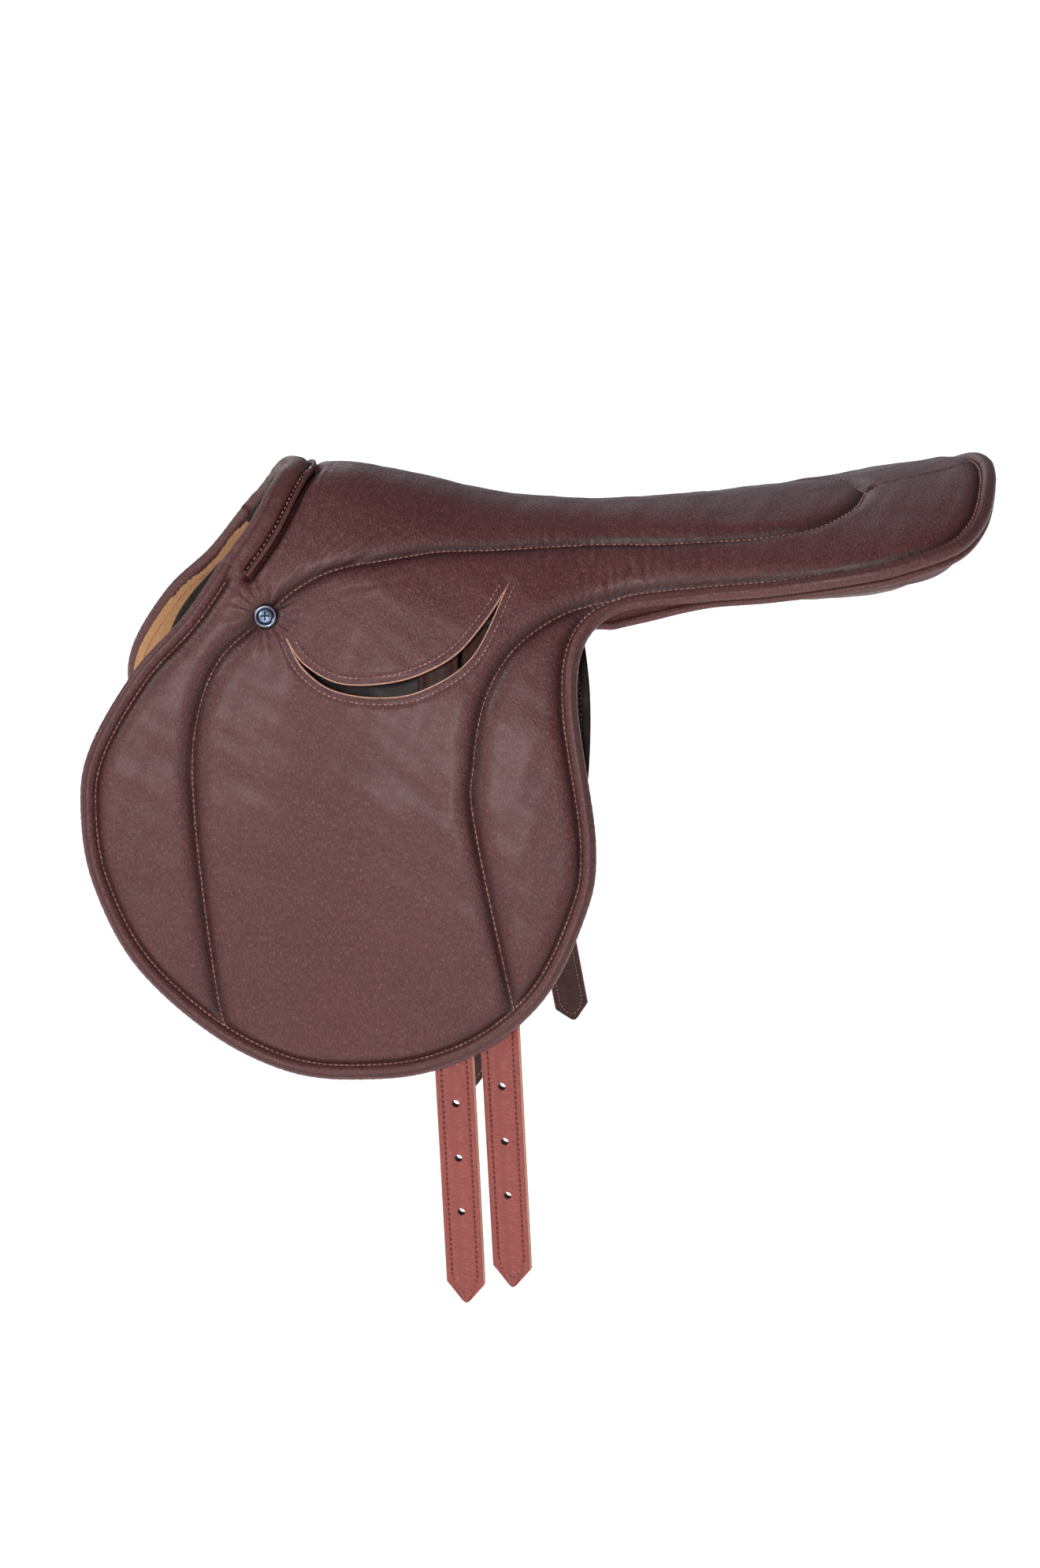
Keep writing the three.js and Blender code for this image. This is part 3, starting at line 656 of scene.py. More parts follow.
def thread(name, starts, ends, crown, side, material):
    """Short stitches from starts to ends, bowed a little towards crown, in one mesh."""
    count, around = 5, 6
    shares = np.linspace(0, 1, count)
    turns = np.arange(around) * 2 * np.pi / around
    axis = unit(ends - starts)
    sideways = unit(np.cross(axis, crown))
    points, faces = [], []
    for share in shares:
        bow = math.sin(math.pi * share)
        centre = starts + (ends - starts) * share + crown * STITCH_RADIUS * (1.5 * bow - 0.9)
        girth = STITCH_RADIUS * (0.45 + 0.55 * bow**0.5)
        for turn in turns:
            points.append(centre + girth * (math.cos(turn) * crown + math.sin(turn) * sideways))
    points = np.array(points).transpose(1, 0, 2).reshape(-1, 3)
    pattern = grid_faces(count, around, closed=True)
    pattern += [tuple(range(around)), tuple(range(count * around - 1, (count - 1) * around - 1, -1))]
    for i in range(len(starts)):
        faces += [tuple(i * count * around + k for k in face) for face in pattern]
    return finished(tidy_shell(new_piece(name, points, faces, side, material)))


# ------------------------------------------------------------------ materials


class Nodes:
    """A short way to write a material's node tree."""

    def __init__(self, name):
        self.material = bpy.data.materials.new(name)
        self.material.use_nodes = True
        self.tree = self.material.node_tree
        self.shader = self.tree.nodes["Principled BSDF"]

    def add(self, kind, inputs=None, **settings):
        node = self.tree.nodes.new(kind)
        for key, value in settings.items():
            setattr(node, key, value)
        for key, value in (inputs or {}).items():
            if isinstance(value, bpy.types.NodeSocket):
                self.tree.links.new(value, node.inputs[key])
            else:
                node.inputs[key].default_value = value
        return node

    def noise(self, place, scale, **inputs):
        """The strength of a noise; inputs are its Detail, Roughness or Distortion."""
        return self.add("ShaderNodeTexNoise", {"Vector": place, "Scale": scale, **inputs}).outputs["Fac"]

    def wave(self, place, scale, inputs=None, **settings):
        """The strength of bands; settings say which way they run."""
        inputs = {"Vector": place, "Scale": scale, **(inputs or {})}
        return self.add("ShaderNodeTexWave", inputs, **settings).outputs["Fac"]

    def stretched(self, place, scale):
        return self.add("ShaderNodeMapping", {"Vector": place, "Scale": scale}).outputs[0]

    def link(self, output, key):
        self.tree.links.new(output, self.shader.inputs[key])

    def set(self, **values):
        for key, value in values.items():
            self.shader.inputs[key.replace("_", " ")].default_value = value

    def mix(self, factor, first, second, blend="MIX"):
        node = self.add("ShaderNodeMix", data_type="RGBA", blend_type=blend)
        for key, value in ((0, factor), (6, first), (7, second)):
            if isinstance(value, bpy.types.NodeSocket):
                self.tree.links.new(value, node.inputs[key])
            else:
                node.inputs[key].default_value = value
        return node.outputs[2]

    def ranged(self, value, low, high, to_low=0.0, to_high=1.0):
        node = self.add("ShaderNodeMapRange", {
            "Value": value, "From Min": low, "From Max": high, "To Min": to_low, "To Max": to_high,
        })
        return node.outputs["Result"]

    def bump(self, height, distance, strength=1.0, normal=None):
        inputs = {"Height": height, "Distance": distance, "Strength": strength}
        if normal is not None:
            inputs["Normal"] = normal
        return self.add("ShaderNodeBump", inputs).outputs["Normal"]


def linear(red, green, blue):
    """A colour given as it looks, from 0 to 255, in the linear values that the shader takes."""
    def channel(value):
        value = value / 255
        return value / 12.92 if value <= 0.04045 else ((value + 0.055) / 1.055) ** 2.4
    return (channel(red), channel(green), channel(blue), 1.0)


def leather(name, base, dark, light, roughness=0.42, grain=0.00020, coat=0.08, gloss=0.24, relief=True):
    """Waxed, slightly pebbled leather: darkened in its grooves as painted shade, paler and smoother where
    it is rubbed.
    """
    nodes = Nodes(name)
    place = nodes.add("ShaderNodeTexCoord").outputs["UV"]
    cloudy = nodes.noise(place, 12, Detail=4, Roughness=0.6)
    mottled = nodes.noise(place, 260, Detail=4, Roughness=0.65)
    pebbles = nodes.add("ShaderNodeTexVoronoi", {"Vector": place, "Scale": 760}, feature="SMOOTH_F1")
    pebbles.inputs["Smoothness"].default_value = 0.35
    pebbled = pebbles.outputs["Distance"]
    strokes = nodes.noise(nodes.stretched(place, (1, 0.32, 1)), 1300, Detail=3)
    pores = nodes.noise(place, 2400, Detail=2)
    scuffs = nodes.noise(place, 420, Detail=3, Distortion=1.2)
    colour = nodes.mix(nodes.ranged(cloudy, 0.35, 0.70, 0, 0.28), base, dark)
    colour = nodes.mix(nodes.ranged(mottled, 0.45, 0.75, 0, 0.16), colour, light)
    colour = nodes.mix(nodes.ranged(pebbled, 0.25, 0.75, 0, 0.40), colour, dark)
    colour = nodes.mix(nodes.ranged(strokes, 0.56, 0.72, 0, 0.45), colour, light)
    colour = nodes.mix(nodes.ranged(strokes, 0.44, 0.30, 0, 0.50), colour, dark)
    if relief:
        height = nodes.add("ShaderNodeAttribute", attribute_name="relief").outputs["Fac"]
        # painted shade: low relief in seams, grooves and creases darkens the colour; the paler crests below
        # are wear
        colour = nodes.mix(nodes.ranged(height, 0.45, 0.02, 0, 0.75), colour, dark)
        colour = nodes.mix(nodes.ranged(height, 0.72, 1.0, 0, 0.15), colour, light)
    nodes.link(colour, "Base Color")
    nodes.link(nodes.ranged(scuffs, 0.3, 0.7, roughness - 0.06, roughness + 0.10), "Roughness")
    normal = nodes.bump(pebbled, grain, 0.8)
    normal = nodes.bump(strokes, grain * 3.2, 0.7, normal)
    normal = nodes.bump(pores, grain * 0.5, 0.6, normal)
    normal = nodes.bump(mottled, 0.0006, 0.5, normal)
    nodes.link(normal, "Normal")
    nodes.set(Coat_Weight=coat, Coat_Roughness=0.32, Specular_IOR_Level=gloss)
    return nodes.material


def thread_material(name, base, dark):
    nodes = Nodes(name)
    place = nodes.add("ShaderNodeTexCoord").outputs["Object"]
    twist = nodes.wave(place, 900, {"Distortion": 2.0})
    worn = nodes.noise(place, 160)
    nodes.link(nodes.mix(nodes.ranged(worn, 0.35, 0.65), base, dark), "Base Color")
    nodes.link(nodes.bump(twist, 0.0001, 0.6), "Normal")
    nodes.set(Roughness=0.75)
    return nodes.material


def metal(name, base, roughness, scale):
    """Metal with fine brushing and small stains."""
    nodes = Nodes(name)
    place = nodes.add("ShaderNodeTexCoord").outputs["Object"]
    stain = nodes.noise(place, scale, Detail=4)
    brushed = nodes.noise(place, scale * 14, Detail=2)
    darker = tuple(0.6 * channel for channel in base[:3]) + (1,)
    nodes.link(nodes.mix(nodes.ranged(stain, 0.45, 0.75, 0, 0.6), base, darker), "Base Color")
    nodes.link(nodes.ranged(brushed, 0.3, 0.7, roughness - 0.06, roughness + 0.1), "Roughness")
    nodes.link(nodes.bump(brushed, 0.00004, 0.5), "Normal")
    nodes.set(Metallic=1.0)
    return nodes.material


def laminated_wood():
    """Glued beech veneers: fine layers across the thickness, with long grain."""
    nodes = Nodes("laminated wood")
    place = nodes.add("ShaderNodeTexCoord").outputs["Object"]
    grain = nodes.noise(nodes.stretched(place, (6, 90, 60)), 1, Detail=6)
    layers = nodes.wave(place, 110, {"Distortion": 1.5}, bands_direction="Z")
    colour = nodes.mix(grain, linear(196, 150, 98), linear(150, 104, 62))
    colour = nodes.mix(nodes.ranged(layers, 0.75, 0.95, 0, 0.5), colour, linear(96, 62, 38))
    nodes.link(colour, "Base Color")
    nodes.link(nodes.bump(grain, 0.0003, 0.5), "Normal")
    nodes.set(Roughness=0.5, Coat_Weight=0.2)
    return nodes.material


def woven_web():
    """Flax webbing: warp and weft ribs over each other."""
    nodes = Nodes("webbing")
    place = nodes.add("ShaderNodeTexCoord").outputs["UV"]
    warp = nodes.wave(place, 180, bands_direction="X")
    weft = nodes.wave(place, 240, bands_direction="Y")
    fuzz = nodes.noise(place, 700, Detail=3)
    weave = nodes.add("ShaderNodeMath", {0: warp, 1: weft}, operation="MULTIPLY").outputs[0]
    colour = nodes.mix(weave, linear(150, 134, 104), linear(212, 198, 164))
    colour = nodes.mix(nodes.ranged(fuzz, 0.4, 0.7, 0, 0.4), colour, linear(120, 104, 80))
    nodes.link(colour, "Base Color")
    nodes.link(nodes.bump(weave, 0.0004, 0.8), "Normal")
    nodes.set(Roughness=0.9)
    return nodes.material


def foam_material():
    nodes = Nodes("foam")
    place = nodes.add("ShaderNodeTexCoord").outputs["UV"]
    cells = nodes.add("ShaderNodeTexVoronoi", {"Vector": place, "Scale": 900}).outputs["Distance"]
    nodes.link(nodes.mix(cells, linear(190, 178, 140), linear(228, 218, 186)), "Base Color")
    nodes.link(nodes.bump(cells, 0.0005, 0.8), "Normal")
    nodes.set(Roughness=0.95)
    return nodes.material


BROWN = leather("flap leather", linear(76, 36, 38), linear(46, 24, 23), linear(132, 90, 88))
BEAD = leather(
    "bead leather", linear(80, 44, 42), linear(44, 23, 22), linear(124, 84, 80), relief=False,
)
PANEL = leather(
    "panel leather", linear(82, 50, 46), linear(50, 30, 28), linear(120, 82, 76),
    roughness=0.5, relief=False,
)
# the sweat flaps' near-black colour is painted shade for the inside of the slot
SWEAT = leather(
    "sweat flap leather", linear(28, 18, 16), linear(18, 12, 10), linear(44, 30, 26),
    roughness=0.5, relief=False, gloss=0.07,
)
BILLET = leather(
    "girth leather", linear(126, 50, 41), linear(92, 30, 24), linear(172, 92, 82),
    roughness=0.34, grain=0.00007, coat=0.4, relief=False,
)
# the straps' backs: dark brown, partly their own dyed flesh side and partly painted shade; the same colour
# is painted shade on the straps inside the slot
STRAP_BACK = leather(
    "strap back", linear(66, 44, 40), linear(42, 26, 24), linear(98, 74, 68),
    roughness=0.6, grain=0.00008, coat=0.05, relief=False, gloss=0.07,
)
FLESH = leather(
    "flesh side", linear(176, 132, 92), linear(140, 98, 64), linear(204, 164, 124),
    roughness=0.8, grain=0.00008, coat=0.0, relief=False,
)
TAN_EDGE = leather(
    "raw edge", linear(184, 142, 122), linear(118, 80, 60), linear(194, 152, 124),
    roughness=0.6, grain=0.00008, coat=0.05, relief=False,
)
BLACK = leather(
    "black leather", linear(40, 35, 38), linear(22, 19, 21), linear(72, 66, 70),
    roughness=0.5, coat=0.1, relief=False, gloss=0.07,
)
THREAD = thread_material("pink tan thread", linear(168, 122, 108), linear(116, 78, 70))
DARK_THREAD = thread_material("dark red thread", linear(96, 44, 38), linear(66, 28, 24))
WOOD = laminated_wood()
WEBBING = woven_web()
FOAM = foam_material()
STEEL = metal("steel", linear(168, 170, 174), 0.32, 60)
NICKEL = metal("nickel", linear(122, 140, 168), 0.44, 160)
DARK_NICKEL = metal("dark nickel", linear(84, 88, 98), 0.22, 160)

# ------------------------------------------------------------------ cover, skirt and flap lining


def cover_lattice():
    """The lattice that the cover and the skirt of one side are cut from."""
    x = np.arange(hem[:, 0].min() - GRID, RIM_END + GRID, GRID)
    girth = np.arange(0, hem[:, 1].max() + GRID, GRID)
    return np.meshgrid(x, girth, indexing="ij")


def cell_middles(values):
    return (values[1:, 1:] + values[:-1, 1:] + values[1:, :-1] + values[:-1, :-1]) / 4


def snapped(x, girth, keep, outline, spacing=GRID):
    """Moves the lattice points on the border of the kept cells onto an outline."""
    touched = np.zeros(x.shape, int)
    for di in (0, 1):
        for dj in (0, 1):
            touched[di:touched.shape[0] - 1 + di, dj:touched.shape[1] - 1 + dj] += keep
    border = (touched > 0) & (touched < 4)
    border[:, 0] = False
    found = nearest_on(outline, x[border], girth[border])
    close = np.hypot(found[:, 0] - x[border], found[:, 1] - girth[border]) < 1.5 * spacing
    x[border] = np.where(close, found[:, 0], x[border])
    girth[border] = np.where(close, found[:, 1], girth[border])


def lattice_piece(name, x, girth, keep, points, normals, relief, side, material, facing=1):
    """A piece from the kept cells of a lattice, with the lattice's own normals.

    facing -1 makes a surface that is seen from inside.
    """
    columns = x.shape[1]
    i, j = np.nonzero(keep)
    corner = i * columns + j
    quads = np.stack([corner, corner + columns, corner + columns + 1, corner + 1], axis=-1)[:, ::facing]
    used, local = np.unique(quads, return_inverse=True)
    faces = local.reshape(-1, 4).tolist()
    piece = new_piece(name, points.reshape(-1, 3)[used], faces, side, material)
    set_layout(piece, np.stack([x.ravel()[used], girth.ravel()[used]], axis=-1))
    set_relief(piece, relief.ravel()[used])
    own = normals.reshape(-1, 3)[used] * (1, side, 1) * facing
    piece.data.normals_split_custom_set_from_vertices(own.tolist())
    return piece


def lattice_normals(points):
    along = np.gradient(points, axis=0)
    around = np.gradient(points, axis=1)
    normals = unit(np.cross(along, around))
    normals[:, 0, 1] = 0
    return unit(normals)


def bend_flap(piece, side):
    """Bakes the piece's transform into its points; nothing is bent at the flap's hinge."""
    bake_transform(piece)


def bend_skirt(piece, side):
    """Works out the directions of the skirt's fold line, which nothing uses, and bakes the piece's
    transform; nothing is folded.
    """
    top, low = laid(*slot_lip[-1]), laid(*slot_lip[0])
    along = unit(top - low)
    out = normals_at(*((slot_lip[-1] + slot_lip[0]) / 2))
    down = np.cross(along, out)
    down *= np.sign(-down[2])
    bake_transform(piece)


def make_cover(side):
    sign = SIDES[side]
    x, girth = cover_lattice()
    middle_x, middle_girth = cell_middles(x), cell_middles(girth)
    within = inside(cover_outline, middle_x, middle_girth)
    in_slot = inside(slot_outline, middle_x, middle_girth)
    in_skirt = inside(skirt_outline, middle_x, middle_girth) & in_slot
    snapped(x, girth, within & ~in_slot, np.concatenate([cover_edge, slot_lip])[:-1])
    snapped(x, girth, in_skirt, skirt_edge)
    height, relief = cover_height(x, girth)
    points = laid(x, girth, -height)
    normals = lattice_normals(points)
    cover = lattice_piece(
        f"cover_{side}", x, girth, within & ~in_slot, points, normals, relief, sign, BROWN,
    )
    finished(
        cover,
        replaces=["seat_cover", f"flap_centre_{side}", f"knee_roll_{side}", f"thigh_roll_{side}"],
    )
    bend_flap(cover, side)
    skirt = lattice_piece(f"skirt_leather_{side}", x, girth, in_skirt, points, normals, relief, sign, BROWN)
    finished(skirt, replaces=[f"skirt_{side}"])
    bend_skirt(skirt, side)


def make_cover_stitches(side):
    sign = SIDES[side]
    rows = {
        "border": border_seam, "seat": seat_seam[3:], "knee": knee_seam[4:-2], "thigh": thigh_seam[2:-2],
        "slot": slot_seam, "head": roll_seam,
    }
    for place, line in rows.items():
        piece = stitches(f"stitches_{place}_{side}", line, sign, THREAD)
        bend_flap(piece, side)
    skirt = stitches(f"stitches_skirt_{side}", skirt_seam[2:-2], sign, THREAD)
    bend_skirt(skirt, side)


def make_bead(side):
    """The rolled edge, from under the head roll, round the flap and along the rim to the cantle."""
    line = moved_in(hem[roll_end - 2:], BEAD_RADIUS)
    line[-1, 1] = 0
    places = evenly(line, 0.0014)

    def rippled(share):
        tuck = math.sin(share * len(places) * 2.1) + math.sin(share * len(places) * 1.37 + 1)
        return pillow(BEAD_RADIUS, BEAD_RADIUS, 14) * (1 + 0.012 * tuck)

    bead = swept(
        f"edge_bead_{side}", laid(*places.T, BEAD_RADIUS), normals_at(*places.T), rippled,
        SIDES[side], BEAD,
    )
    finished(
        bead,
        replaces=[f"flap_bead_{side}", f"front_bead_{side}", "cantle_bead"],
    )
    bend_flap(bead, side)


def make_slot_edges(side):
    """Pale bound edges of the slot: a wall through the flap's thickness, and the skirt's rim."""
    for name, line, thickness, bend in (
        ("slot_edge", moved_in(slot_lip, 0.0003), FLAP_THICKNESS, bend_flap),
        ("skirt_rim", moved_in(skirt_edge, -0.0003), SKIRT_THICKNESS, bend_skirt),
    ):
        line = evenly(line, 0.002)
        half = thickness / 2
        wall = [(half, -0.0004), (half + 0.0002, 0), (half, 0.0004), (-half, 0.0004), (-half, -0.0004)]
        edge = swept(
            f"{name}_{side}", laid(*line.T, half), normals_at(*line.T), wall, SIDES[side], TAN_EDGE,
        )
        bend(edge, side)


# ------------------------------------------------------------------ head of the saddle


def both_sides(half):
    """Points from the centre plane outwards, with their mirror images before them."""
    return np.concatenate([(half * (1, -1, 1))[:0:-1], half])


def over_head(name, offset, depth, section, material):
    """A band over the head from side to side, at an offset inside the head's edge."""
    line = moved_in(hem[:roll_end + 1], offset)
    line[0, 1] = 0
    line = evenly(line, 0.0016)
    path = both_sides(laid(*line.T, depth))
    piece = swept(name, path, both_sides(normals_at(*line.T)), section, 1, material)
    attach(piece, "root")
    return piece


ROLL_HALF_OUT = 0.0056
ROLL_DEPTH = 0.0014
WELT_HALF_OUT = 0.0022
LINING_OFFSET = 0.0055
LINING_DEPTH = 0.0080


def roll_section(share):
    tuck = math.sin(share * 97) + math.sin(share * 61 + 2)
    return pillow(ROLL_HALF_OUT, ROLL_WIDTH / 2 - 0.0012, 26, 2.2) * (1 + 0.012 * tuck)


def lining_section(share):
    """The lining shows most in front of the middle of the head."""
    drawn_back = 0.0015 + 0.0085 * abs(2 * share - 1) ** 1.5
    return pillow(0.0011, 0.0095, 16, 8) + (0, drawn_back)


def make_head():
    roll = over_head("head_roll", ROLL_WIDTH / 2, ROLL_DEPTH, roll_section, BEAD)
    finished(roll, replaces=["pommel_roll"])
    welt_section = pillow(WELT_HALF_OUT, WELT_WIDTH / 2 - 0.0002, 12)
    welt_offset = ROLL_WIDTH + WELT_WIDTH / 2 + 0.0006
    welt = over_head("head_welt", welt_offset, 0.0002, welt_section, BEAD)
    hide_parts("pommel_welt")
    lining = over_head("head_lining", LINING_OFFSET, LINING_DEPTH, lining_section, BLACK)
    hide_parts("gullet_lining")


# ------------------------------------------------------------------ linings, sweat flaps and skirts' backs


def leather_layer(name, outline, depth, side, material, facing, spacing=0.004, without=None):
    """One face of a leather sheet at a depth of the form, cut to an outline in (x, girth)."""
    low, high = outline.min(axis=0) - spacing, outline.max(axis=0) + spacing
    x, girth = np.meshgrid(
        np.arange(low[0], high[0], spacing), np.arange(max(low[1], 0), high[1], spacing), indexing="ij",
    )
    middle_x, middle_girth = cell_middles(x), cell_middles(girth)
    keep = inside(outline, middle_x, middle_girth)
    edge = np.concatenate([outline, outline[:1]])
    if without is not None:
        keep &= ~inside(without, middle_x, middle_girth)
        snapped(x, girth, keep, without, spacing)
    snapped(x, girth, keep, edge, spacing)
    ripple = uneven(x, girth)
    points = laid(x, girth, depth + ripple)
    relief = np.full(x.shape, 0.6)
    piece = lattice_piece(
        name, x, girth, keep, points, lattice_normals(points), relief, SIDES[side], material, facing,
    )
    return finished(piece)


flap_end = int(np.argmax((hem[:, 0] > 0.045) & (hem_z > 0.004)))
lining_outline = moved_in(hem[roll_end:flap_end], 0.0045)
SWEAT_FLAP = [
    (-0.190, 0.022), (-0.222, -0.024), (-0.240, -0.085), (-0.232, -0.146), (-0.190, -0.205),
    (-0.120, -0.238), (-0.050, -0.228), (0.004, -0.190), (0.030, -0.140), (0.040, -0.086),
    (0.042, -0.030), (0.036, 0.020),
]
sweat_outline = smooth(unrolled(SWEAT_FLAP))
SWEAT_DEPTH = 0.0305
SWEAT_THICKNESS = 0.003


def make_flap_lining(side):
    lining = leather_layer(
        f"flap_lining_{side}", lining_outline, FLAP_THICKNESS - 0.0003, side, FLESH,
        facing=-1, spacing=0.003, without=slot_outline,
    )
    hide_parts(f"flap_backing_{side}")
    bend_flap(lining, side)
    rows = {"border": border_seam[:-2], "knee": knee_seam[8:], "thigh": thigh_seam[10:]}
    for place, line in rows.items():
        low = line[laid(*line.T)[:, 2] < 0.010]
        inner = stitches(
            f"inner_stitches_{place}_{side}", low, SIDES[side], THREAD,
            surface=lambda x, girth: laid(x, girth, FLAP_THICKNESS + uneven(x, girth)),
        )
        bend_flap(inner, side)


def make_skirt_back(side):
    back = leather_layer(
        f"skirt_back_{side}", skirt_outline, SKIRT_THICKNESS, side, FLESH,
        facing=-1, spacing=0.002,
    )
    bend_skirt(back, side)


def make_sweat_flap(side):
    for face, depth, facing in (("outer", SWEAT_DEPTH, 1), ("inner", SWEAT_DEPTH + SWEAT_THICKNESS, -1)):
        sheet = leather_layer(
            f"sweat_flap_{face}_{side}", sweat_outline, depth, side, SWEAT, facing,
        )
        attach(sheet, "root")
        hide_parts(f"sweat_flap_{side}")
    middle = SWEAT_DEPTH + SWEAT_THICKNESS / 2
    edge = swept(
        f"sweat_flap_edge_{side}", laid(*sweat_outline.T, middle + uneven(*sweat_outline.T)),
        normals_at(*sweat_outline.T), pillow(SWEAT_THICKNESS / 2, 0.0011, 10), SIDES[side], SWEAT,
    )
    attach(edge, "root")
    seam = stitches(
        f"sweat_flap_stitches_{side}", moved_in(sweat_outline, 0.005), SIDES[side], THREAD,
        surface=lambda x, girth: laid(x, girth, SWEAT_DEPTH + 0.0004 + uneven(x, girth)),
    )
    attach(seam, "root")


# ------------------------------------------------------------------ panels

PANEL_OUTER = through([
    (-0.175, 0.098), (-0.120, 0.100), (-0.060, 0.092), (0, 0.076), (0.060, 0.068),
    (0.120, 0.076), (0.200, 0.094), (0.250, 0.086), (0.268, 0.064),
])
PANEL_TOP = through([(0.050, 0.036), (0.120, 0.0278)])
PANEL_THICKNESS = through([(-0.175, 0.013), (0, 0.016), (0.120, 0.020), (0.210, 0.024), (0.268, 0.014)])
PANEL_INNER = 0.0235
PANEL_BEAD_RADIUS = 0.0025
PANEL_BEAD_DEPTH = 0.0110


def panel_inset(x):
    """How far the panel's edge lies inside the rim; below the waist it hangs out a little."""
    tucked_in = 0.012 * (1 - eased(x, 0.038, 0.056))
    return 0.0022 - 0.0072 * dent(x - 0.068, 0.030) + tucked_in


rim_start = int(np.argmax((hem[:, 0] > 0.030) & (hem_z > -0.030) & (np.arange(len(hem)) > flap_end // 2)))
rim_line = hem[rim_start:]


def panel_layout():
    """The lattice of a panel as (station, distance across, share from front to back, and outwards)."""
    lengthwise, outwards = np.meshgrid(np.linspace(0, 1, 150), np.linspace(0, 1, 44), indexing="ij")
    front = -0.130 - 0.048 * outwards**0.8
    back = 0.268 - 0.060 * outwards**3
    x = front + (back - front) * lengthwise
    rear = eased(x, 0.045, 0.080)
    rim = np.interp(x, rim_line[:, 0], across_of(*rim_line.T))
    outer = PANEL_OUTER(x) * (1 - rear) + (rim - panel_inset(x) - 0.0025) * rear
    return x, PANEL_INNER + (outer - PANEL_INNER) * outwards, lengthwise, outwards, rear


def make_panel(side):
    """A flocked panel: two leather faces that meet in a welted seam, stuffed between them."""
    x, across, lengthwise, outwards, rear = panel_layout()
    length, width = 0.42, across.max(axis=1, keepdims=True) - PANEL_INNER
    raised = (PANEL_TOP(x) - PANEL_BEAD_DEPTH - 0.003) * rear * eased(outwards, 0.6, 1)
    top = PANEL_TOP(x) - raised
    thickness = PANEL_THICKNESS(x) * (1 - (0.75 + 0.2 * rear) * outwards**2)
    stuffing = rounded((1 - outwards) * width, 0.024) * rounded(outwards * width, 0.009)
    stuffing *= rounded(lengthwise * length, 0.015) * rounded((1 - lengthwise) * length, 0.015)
    lumps = 1.6 * uneven(x, girth_of(x, across))
    tucks = 0.0004 * np.cos(x / 0.0021 + 3 * np.sin(x / 0.05)) * dent(outwards * width, 0.010)
    bottom = top + (thickness + lumps + tucks) * stuffing
    panel = closed_layer(
        f"panel_leather_{side}", x, across, top, bottom, SIDES[side], PANEL,
    )
    finished(panel, replaces=[f"panel_{side}"])
    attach(panel, "root")
    for place, column, inset in (("channel", 0, 0.001), ("outer", -1, -0.001)):
        station, edge = x[:, column], across[:, column]
        path = on_form(station, edge + inset, top[:, column] + 0.001)
        normals = unit(on_form(station, edge) - on_form(station, edge, 0.01))
        cord = swept(
            f"panel_welt_{place}_{side}", path, normals, pillow(0.0016, 0.0016, 10), SIDES[side],
            BEAD,
        )
        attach(cord, "root")


def make_panel_bead(side):
    """The panel's own rolled edge, which shows under the rim of the seat."""
    line = moved_in(rim_line, panel_inset(rim_line[:, 0]))
    line[-1, 1] = 0
    line = evenly(line, 0.003)
    bead = swept(
        f"panel_edge_{side}", laid(*line.T, PANEL_BEAD_DEPTH), normals_at(*line.T),
        pillow(PANEL_BEAD_RADIUS, PANEL_BEAD_RADIUS, 12), SIDES[side], BEAD,
    )
    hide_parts("panel_bead")
    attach(bead, "root")


WALL_FACING_INSET = 0.0145
WALL_FACING_NARROWING = 0.0040


def make_rim_wall(side):
    """The leather that closes the seat from behind its rim, past the panel's edge, to the panel."""
    x = rim_line[:, 0]
    facing = WALL_FACING_INSET - WALL_FACING_NARROWING * eased(x, 0.215, 0.250)
    rails = [
        (0.0050, 0.0060), (panel_inset(x) + 0.0006, PANEL_BEAD_DEPTH), (facing, 0.0200),
        (facing + 0.0015, 0.0280), (0.0400, 0.0292),
    ]
    points = []
    for inset, depth in rails:
        line = moved_in(rim_line, inset)
        line[:, 1] = np.maximum(line[:, 1], 0)
        line[-1, 1] = 0
        points.append(laid(*line.T, depth))
    points = np.stack(points, axis=1).reshape(-1, 3)
    faces = grid_faces(len(x), len(rails))
    piece = new_piece(f"rim_wall_{side}", points, faces, SIDES[side], PANEL)
    set_layout(piece, [(0.003 * i, depth) for i in range(len(x)) for _, depth in rails])
    finished(piece)
    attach(piece, "root")


# ------------------------------------------------------------------ girth straps

BILLET_WIDTH = 0.025
BILLET_THICKNESS = 0.0042
BILLET_DEPTH = 0.015
BILLET_TOP_Z = 0.012
BILLET_PIVOT_Z = 0.005
BILLET_FLAT_FROM_Z = -0.238
BILLET_HOLE_RADIUS = 0.0025
BILLET_HOLE_PITCH = 0.038
BILLET_HOLE_COUNT = 6
BILLET_TIP_TO_HOLE = 0.066
BILLET_POINT = 0.014
STRAP_SEAM = 0.0042
BILLETS = {
    "front": {"x": -0.050, "tip": -0.423, "lean": (2.2, 2.2), "flare": (0, 0), "twist": (15, 4)},
    "rear": {"x": -0.023, "tip": -0.409, "lean": (2.6, 9), "flare": (0, 18), "twist": (17, 6)},
}


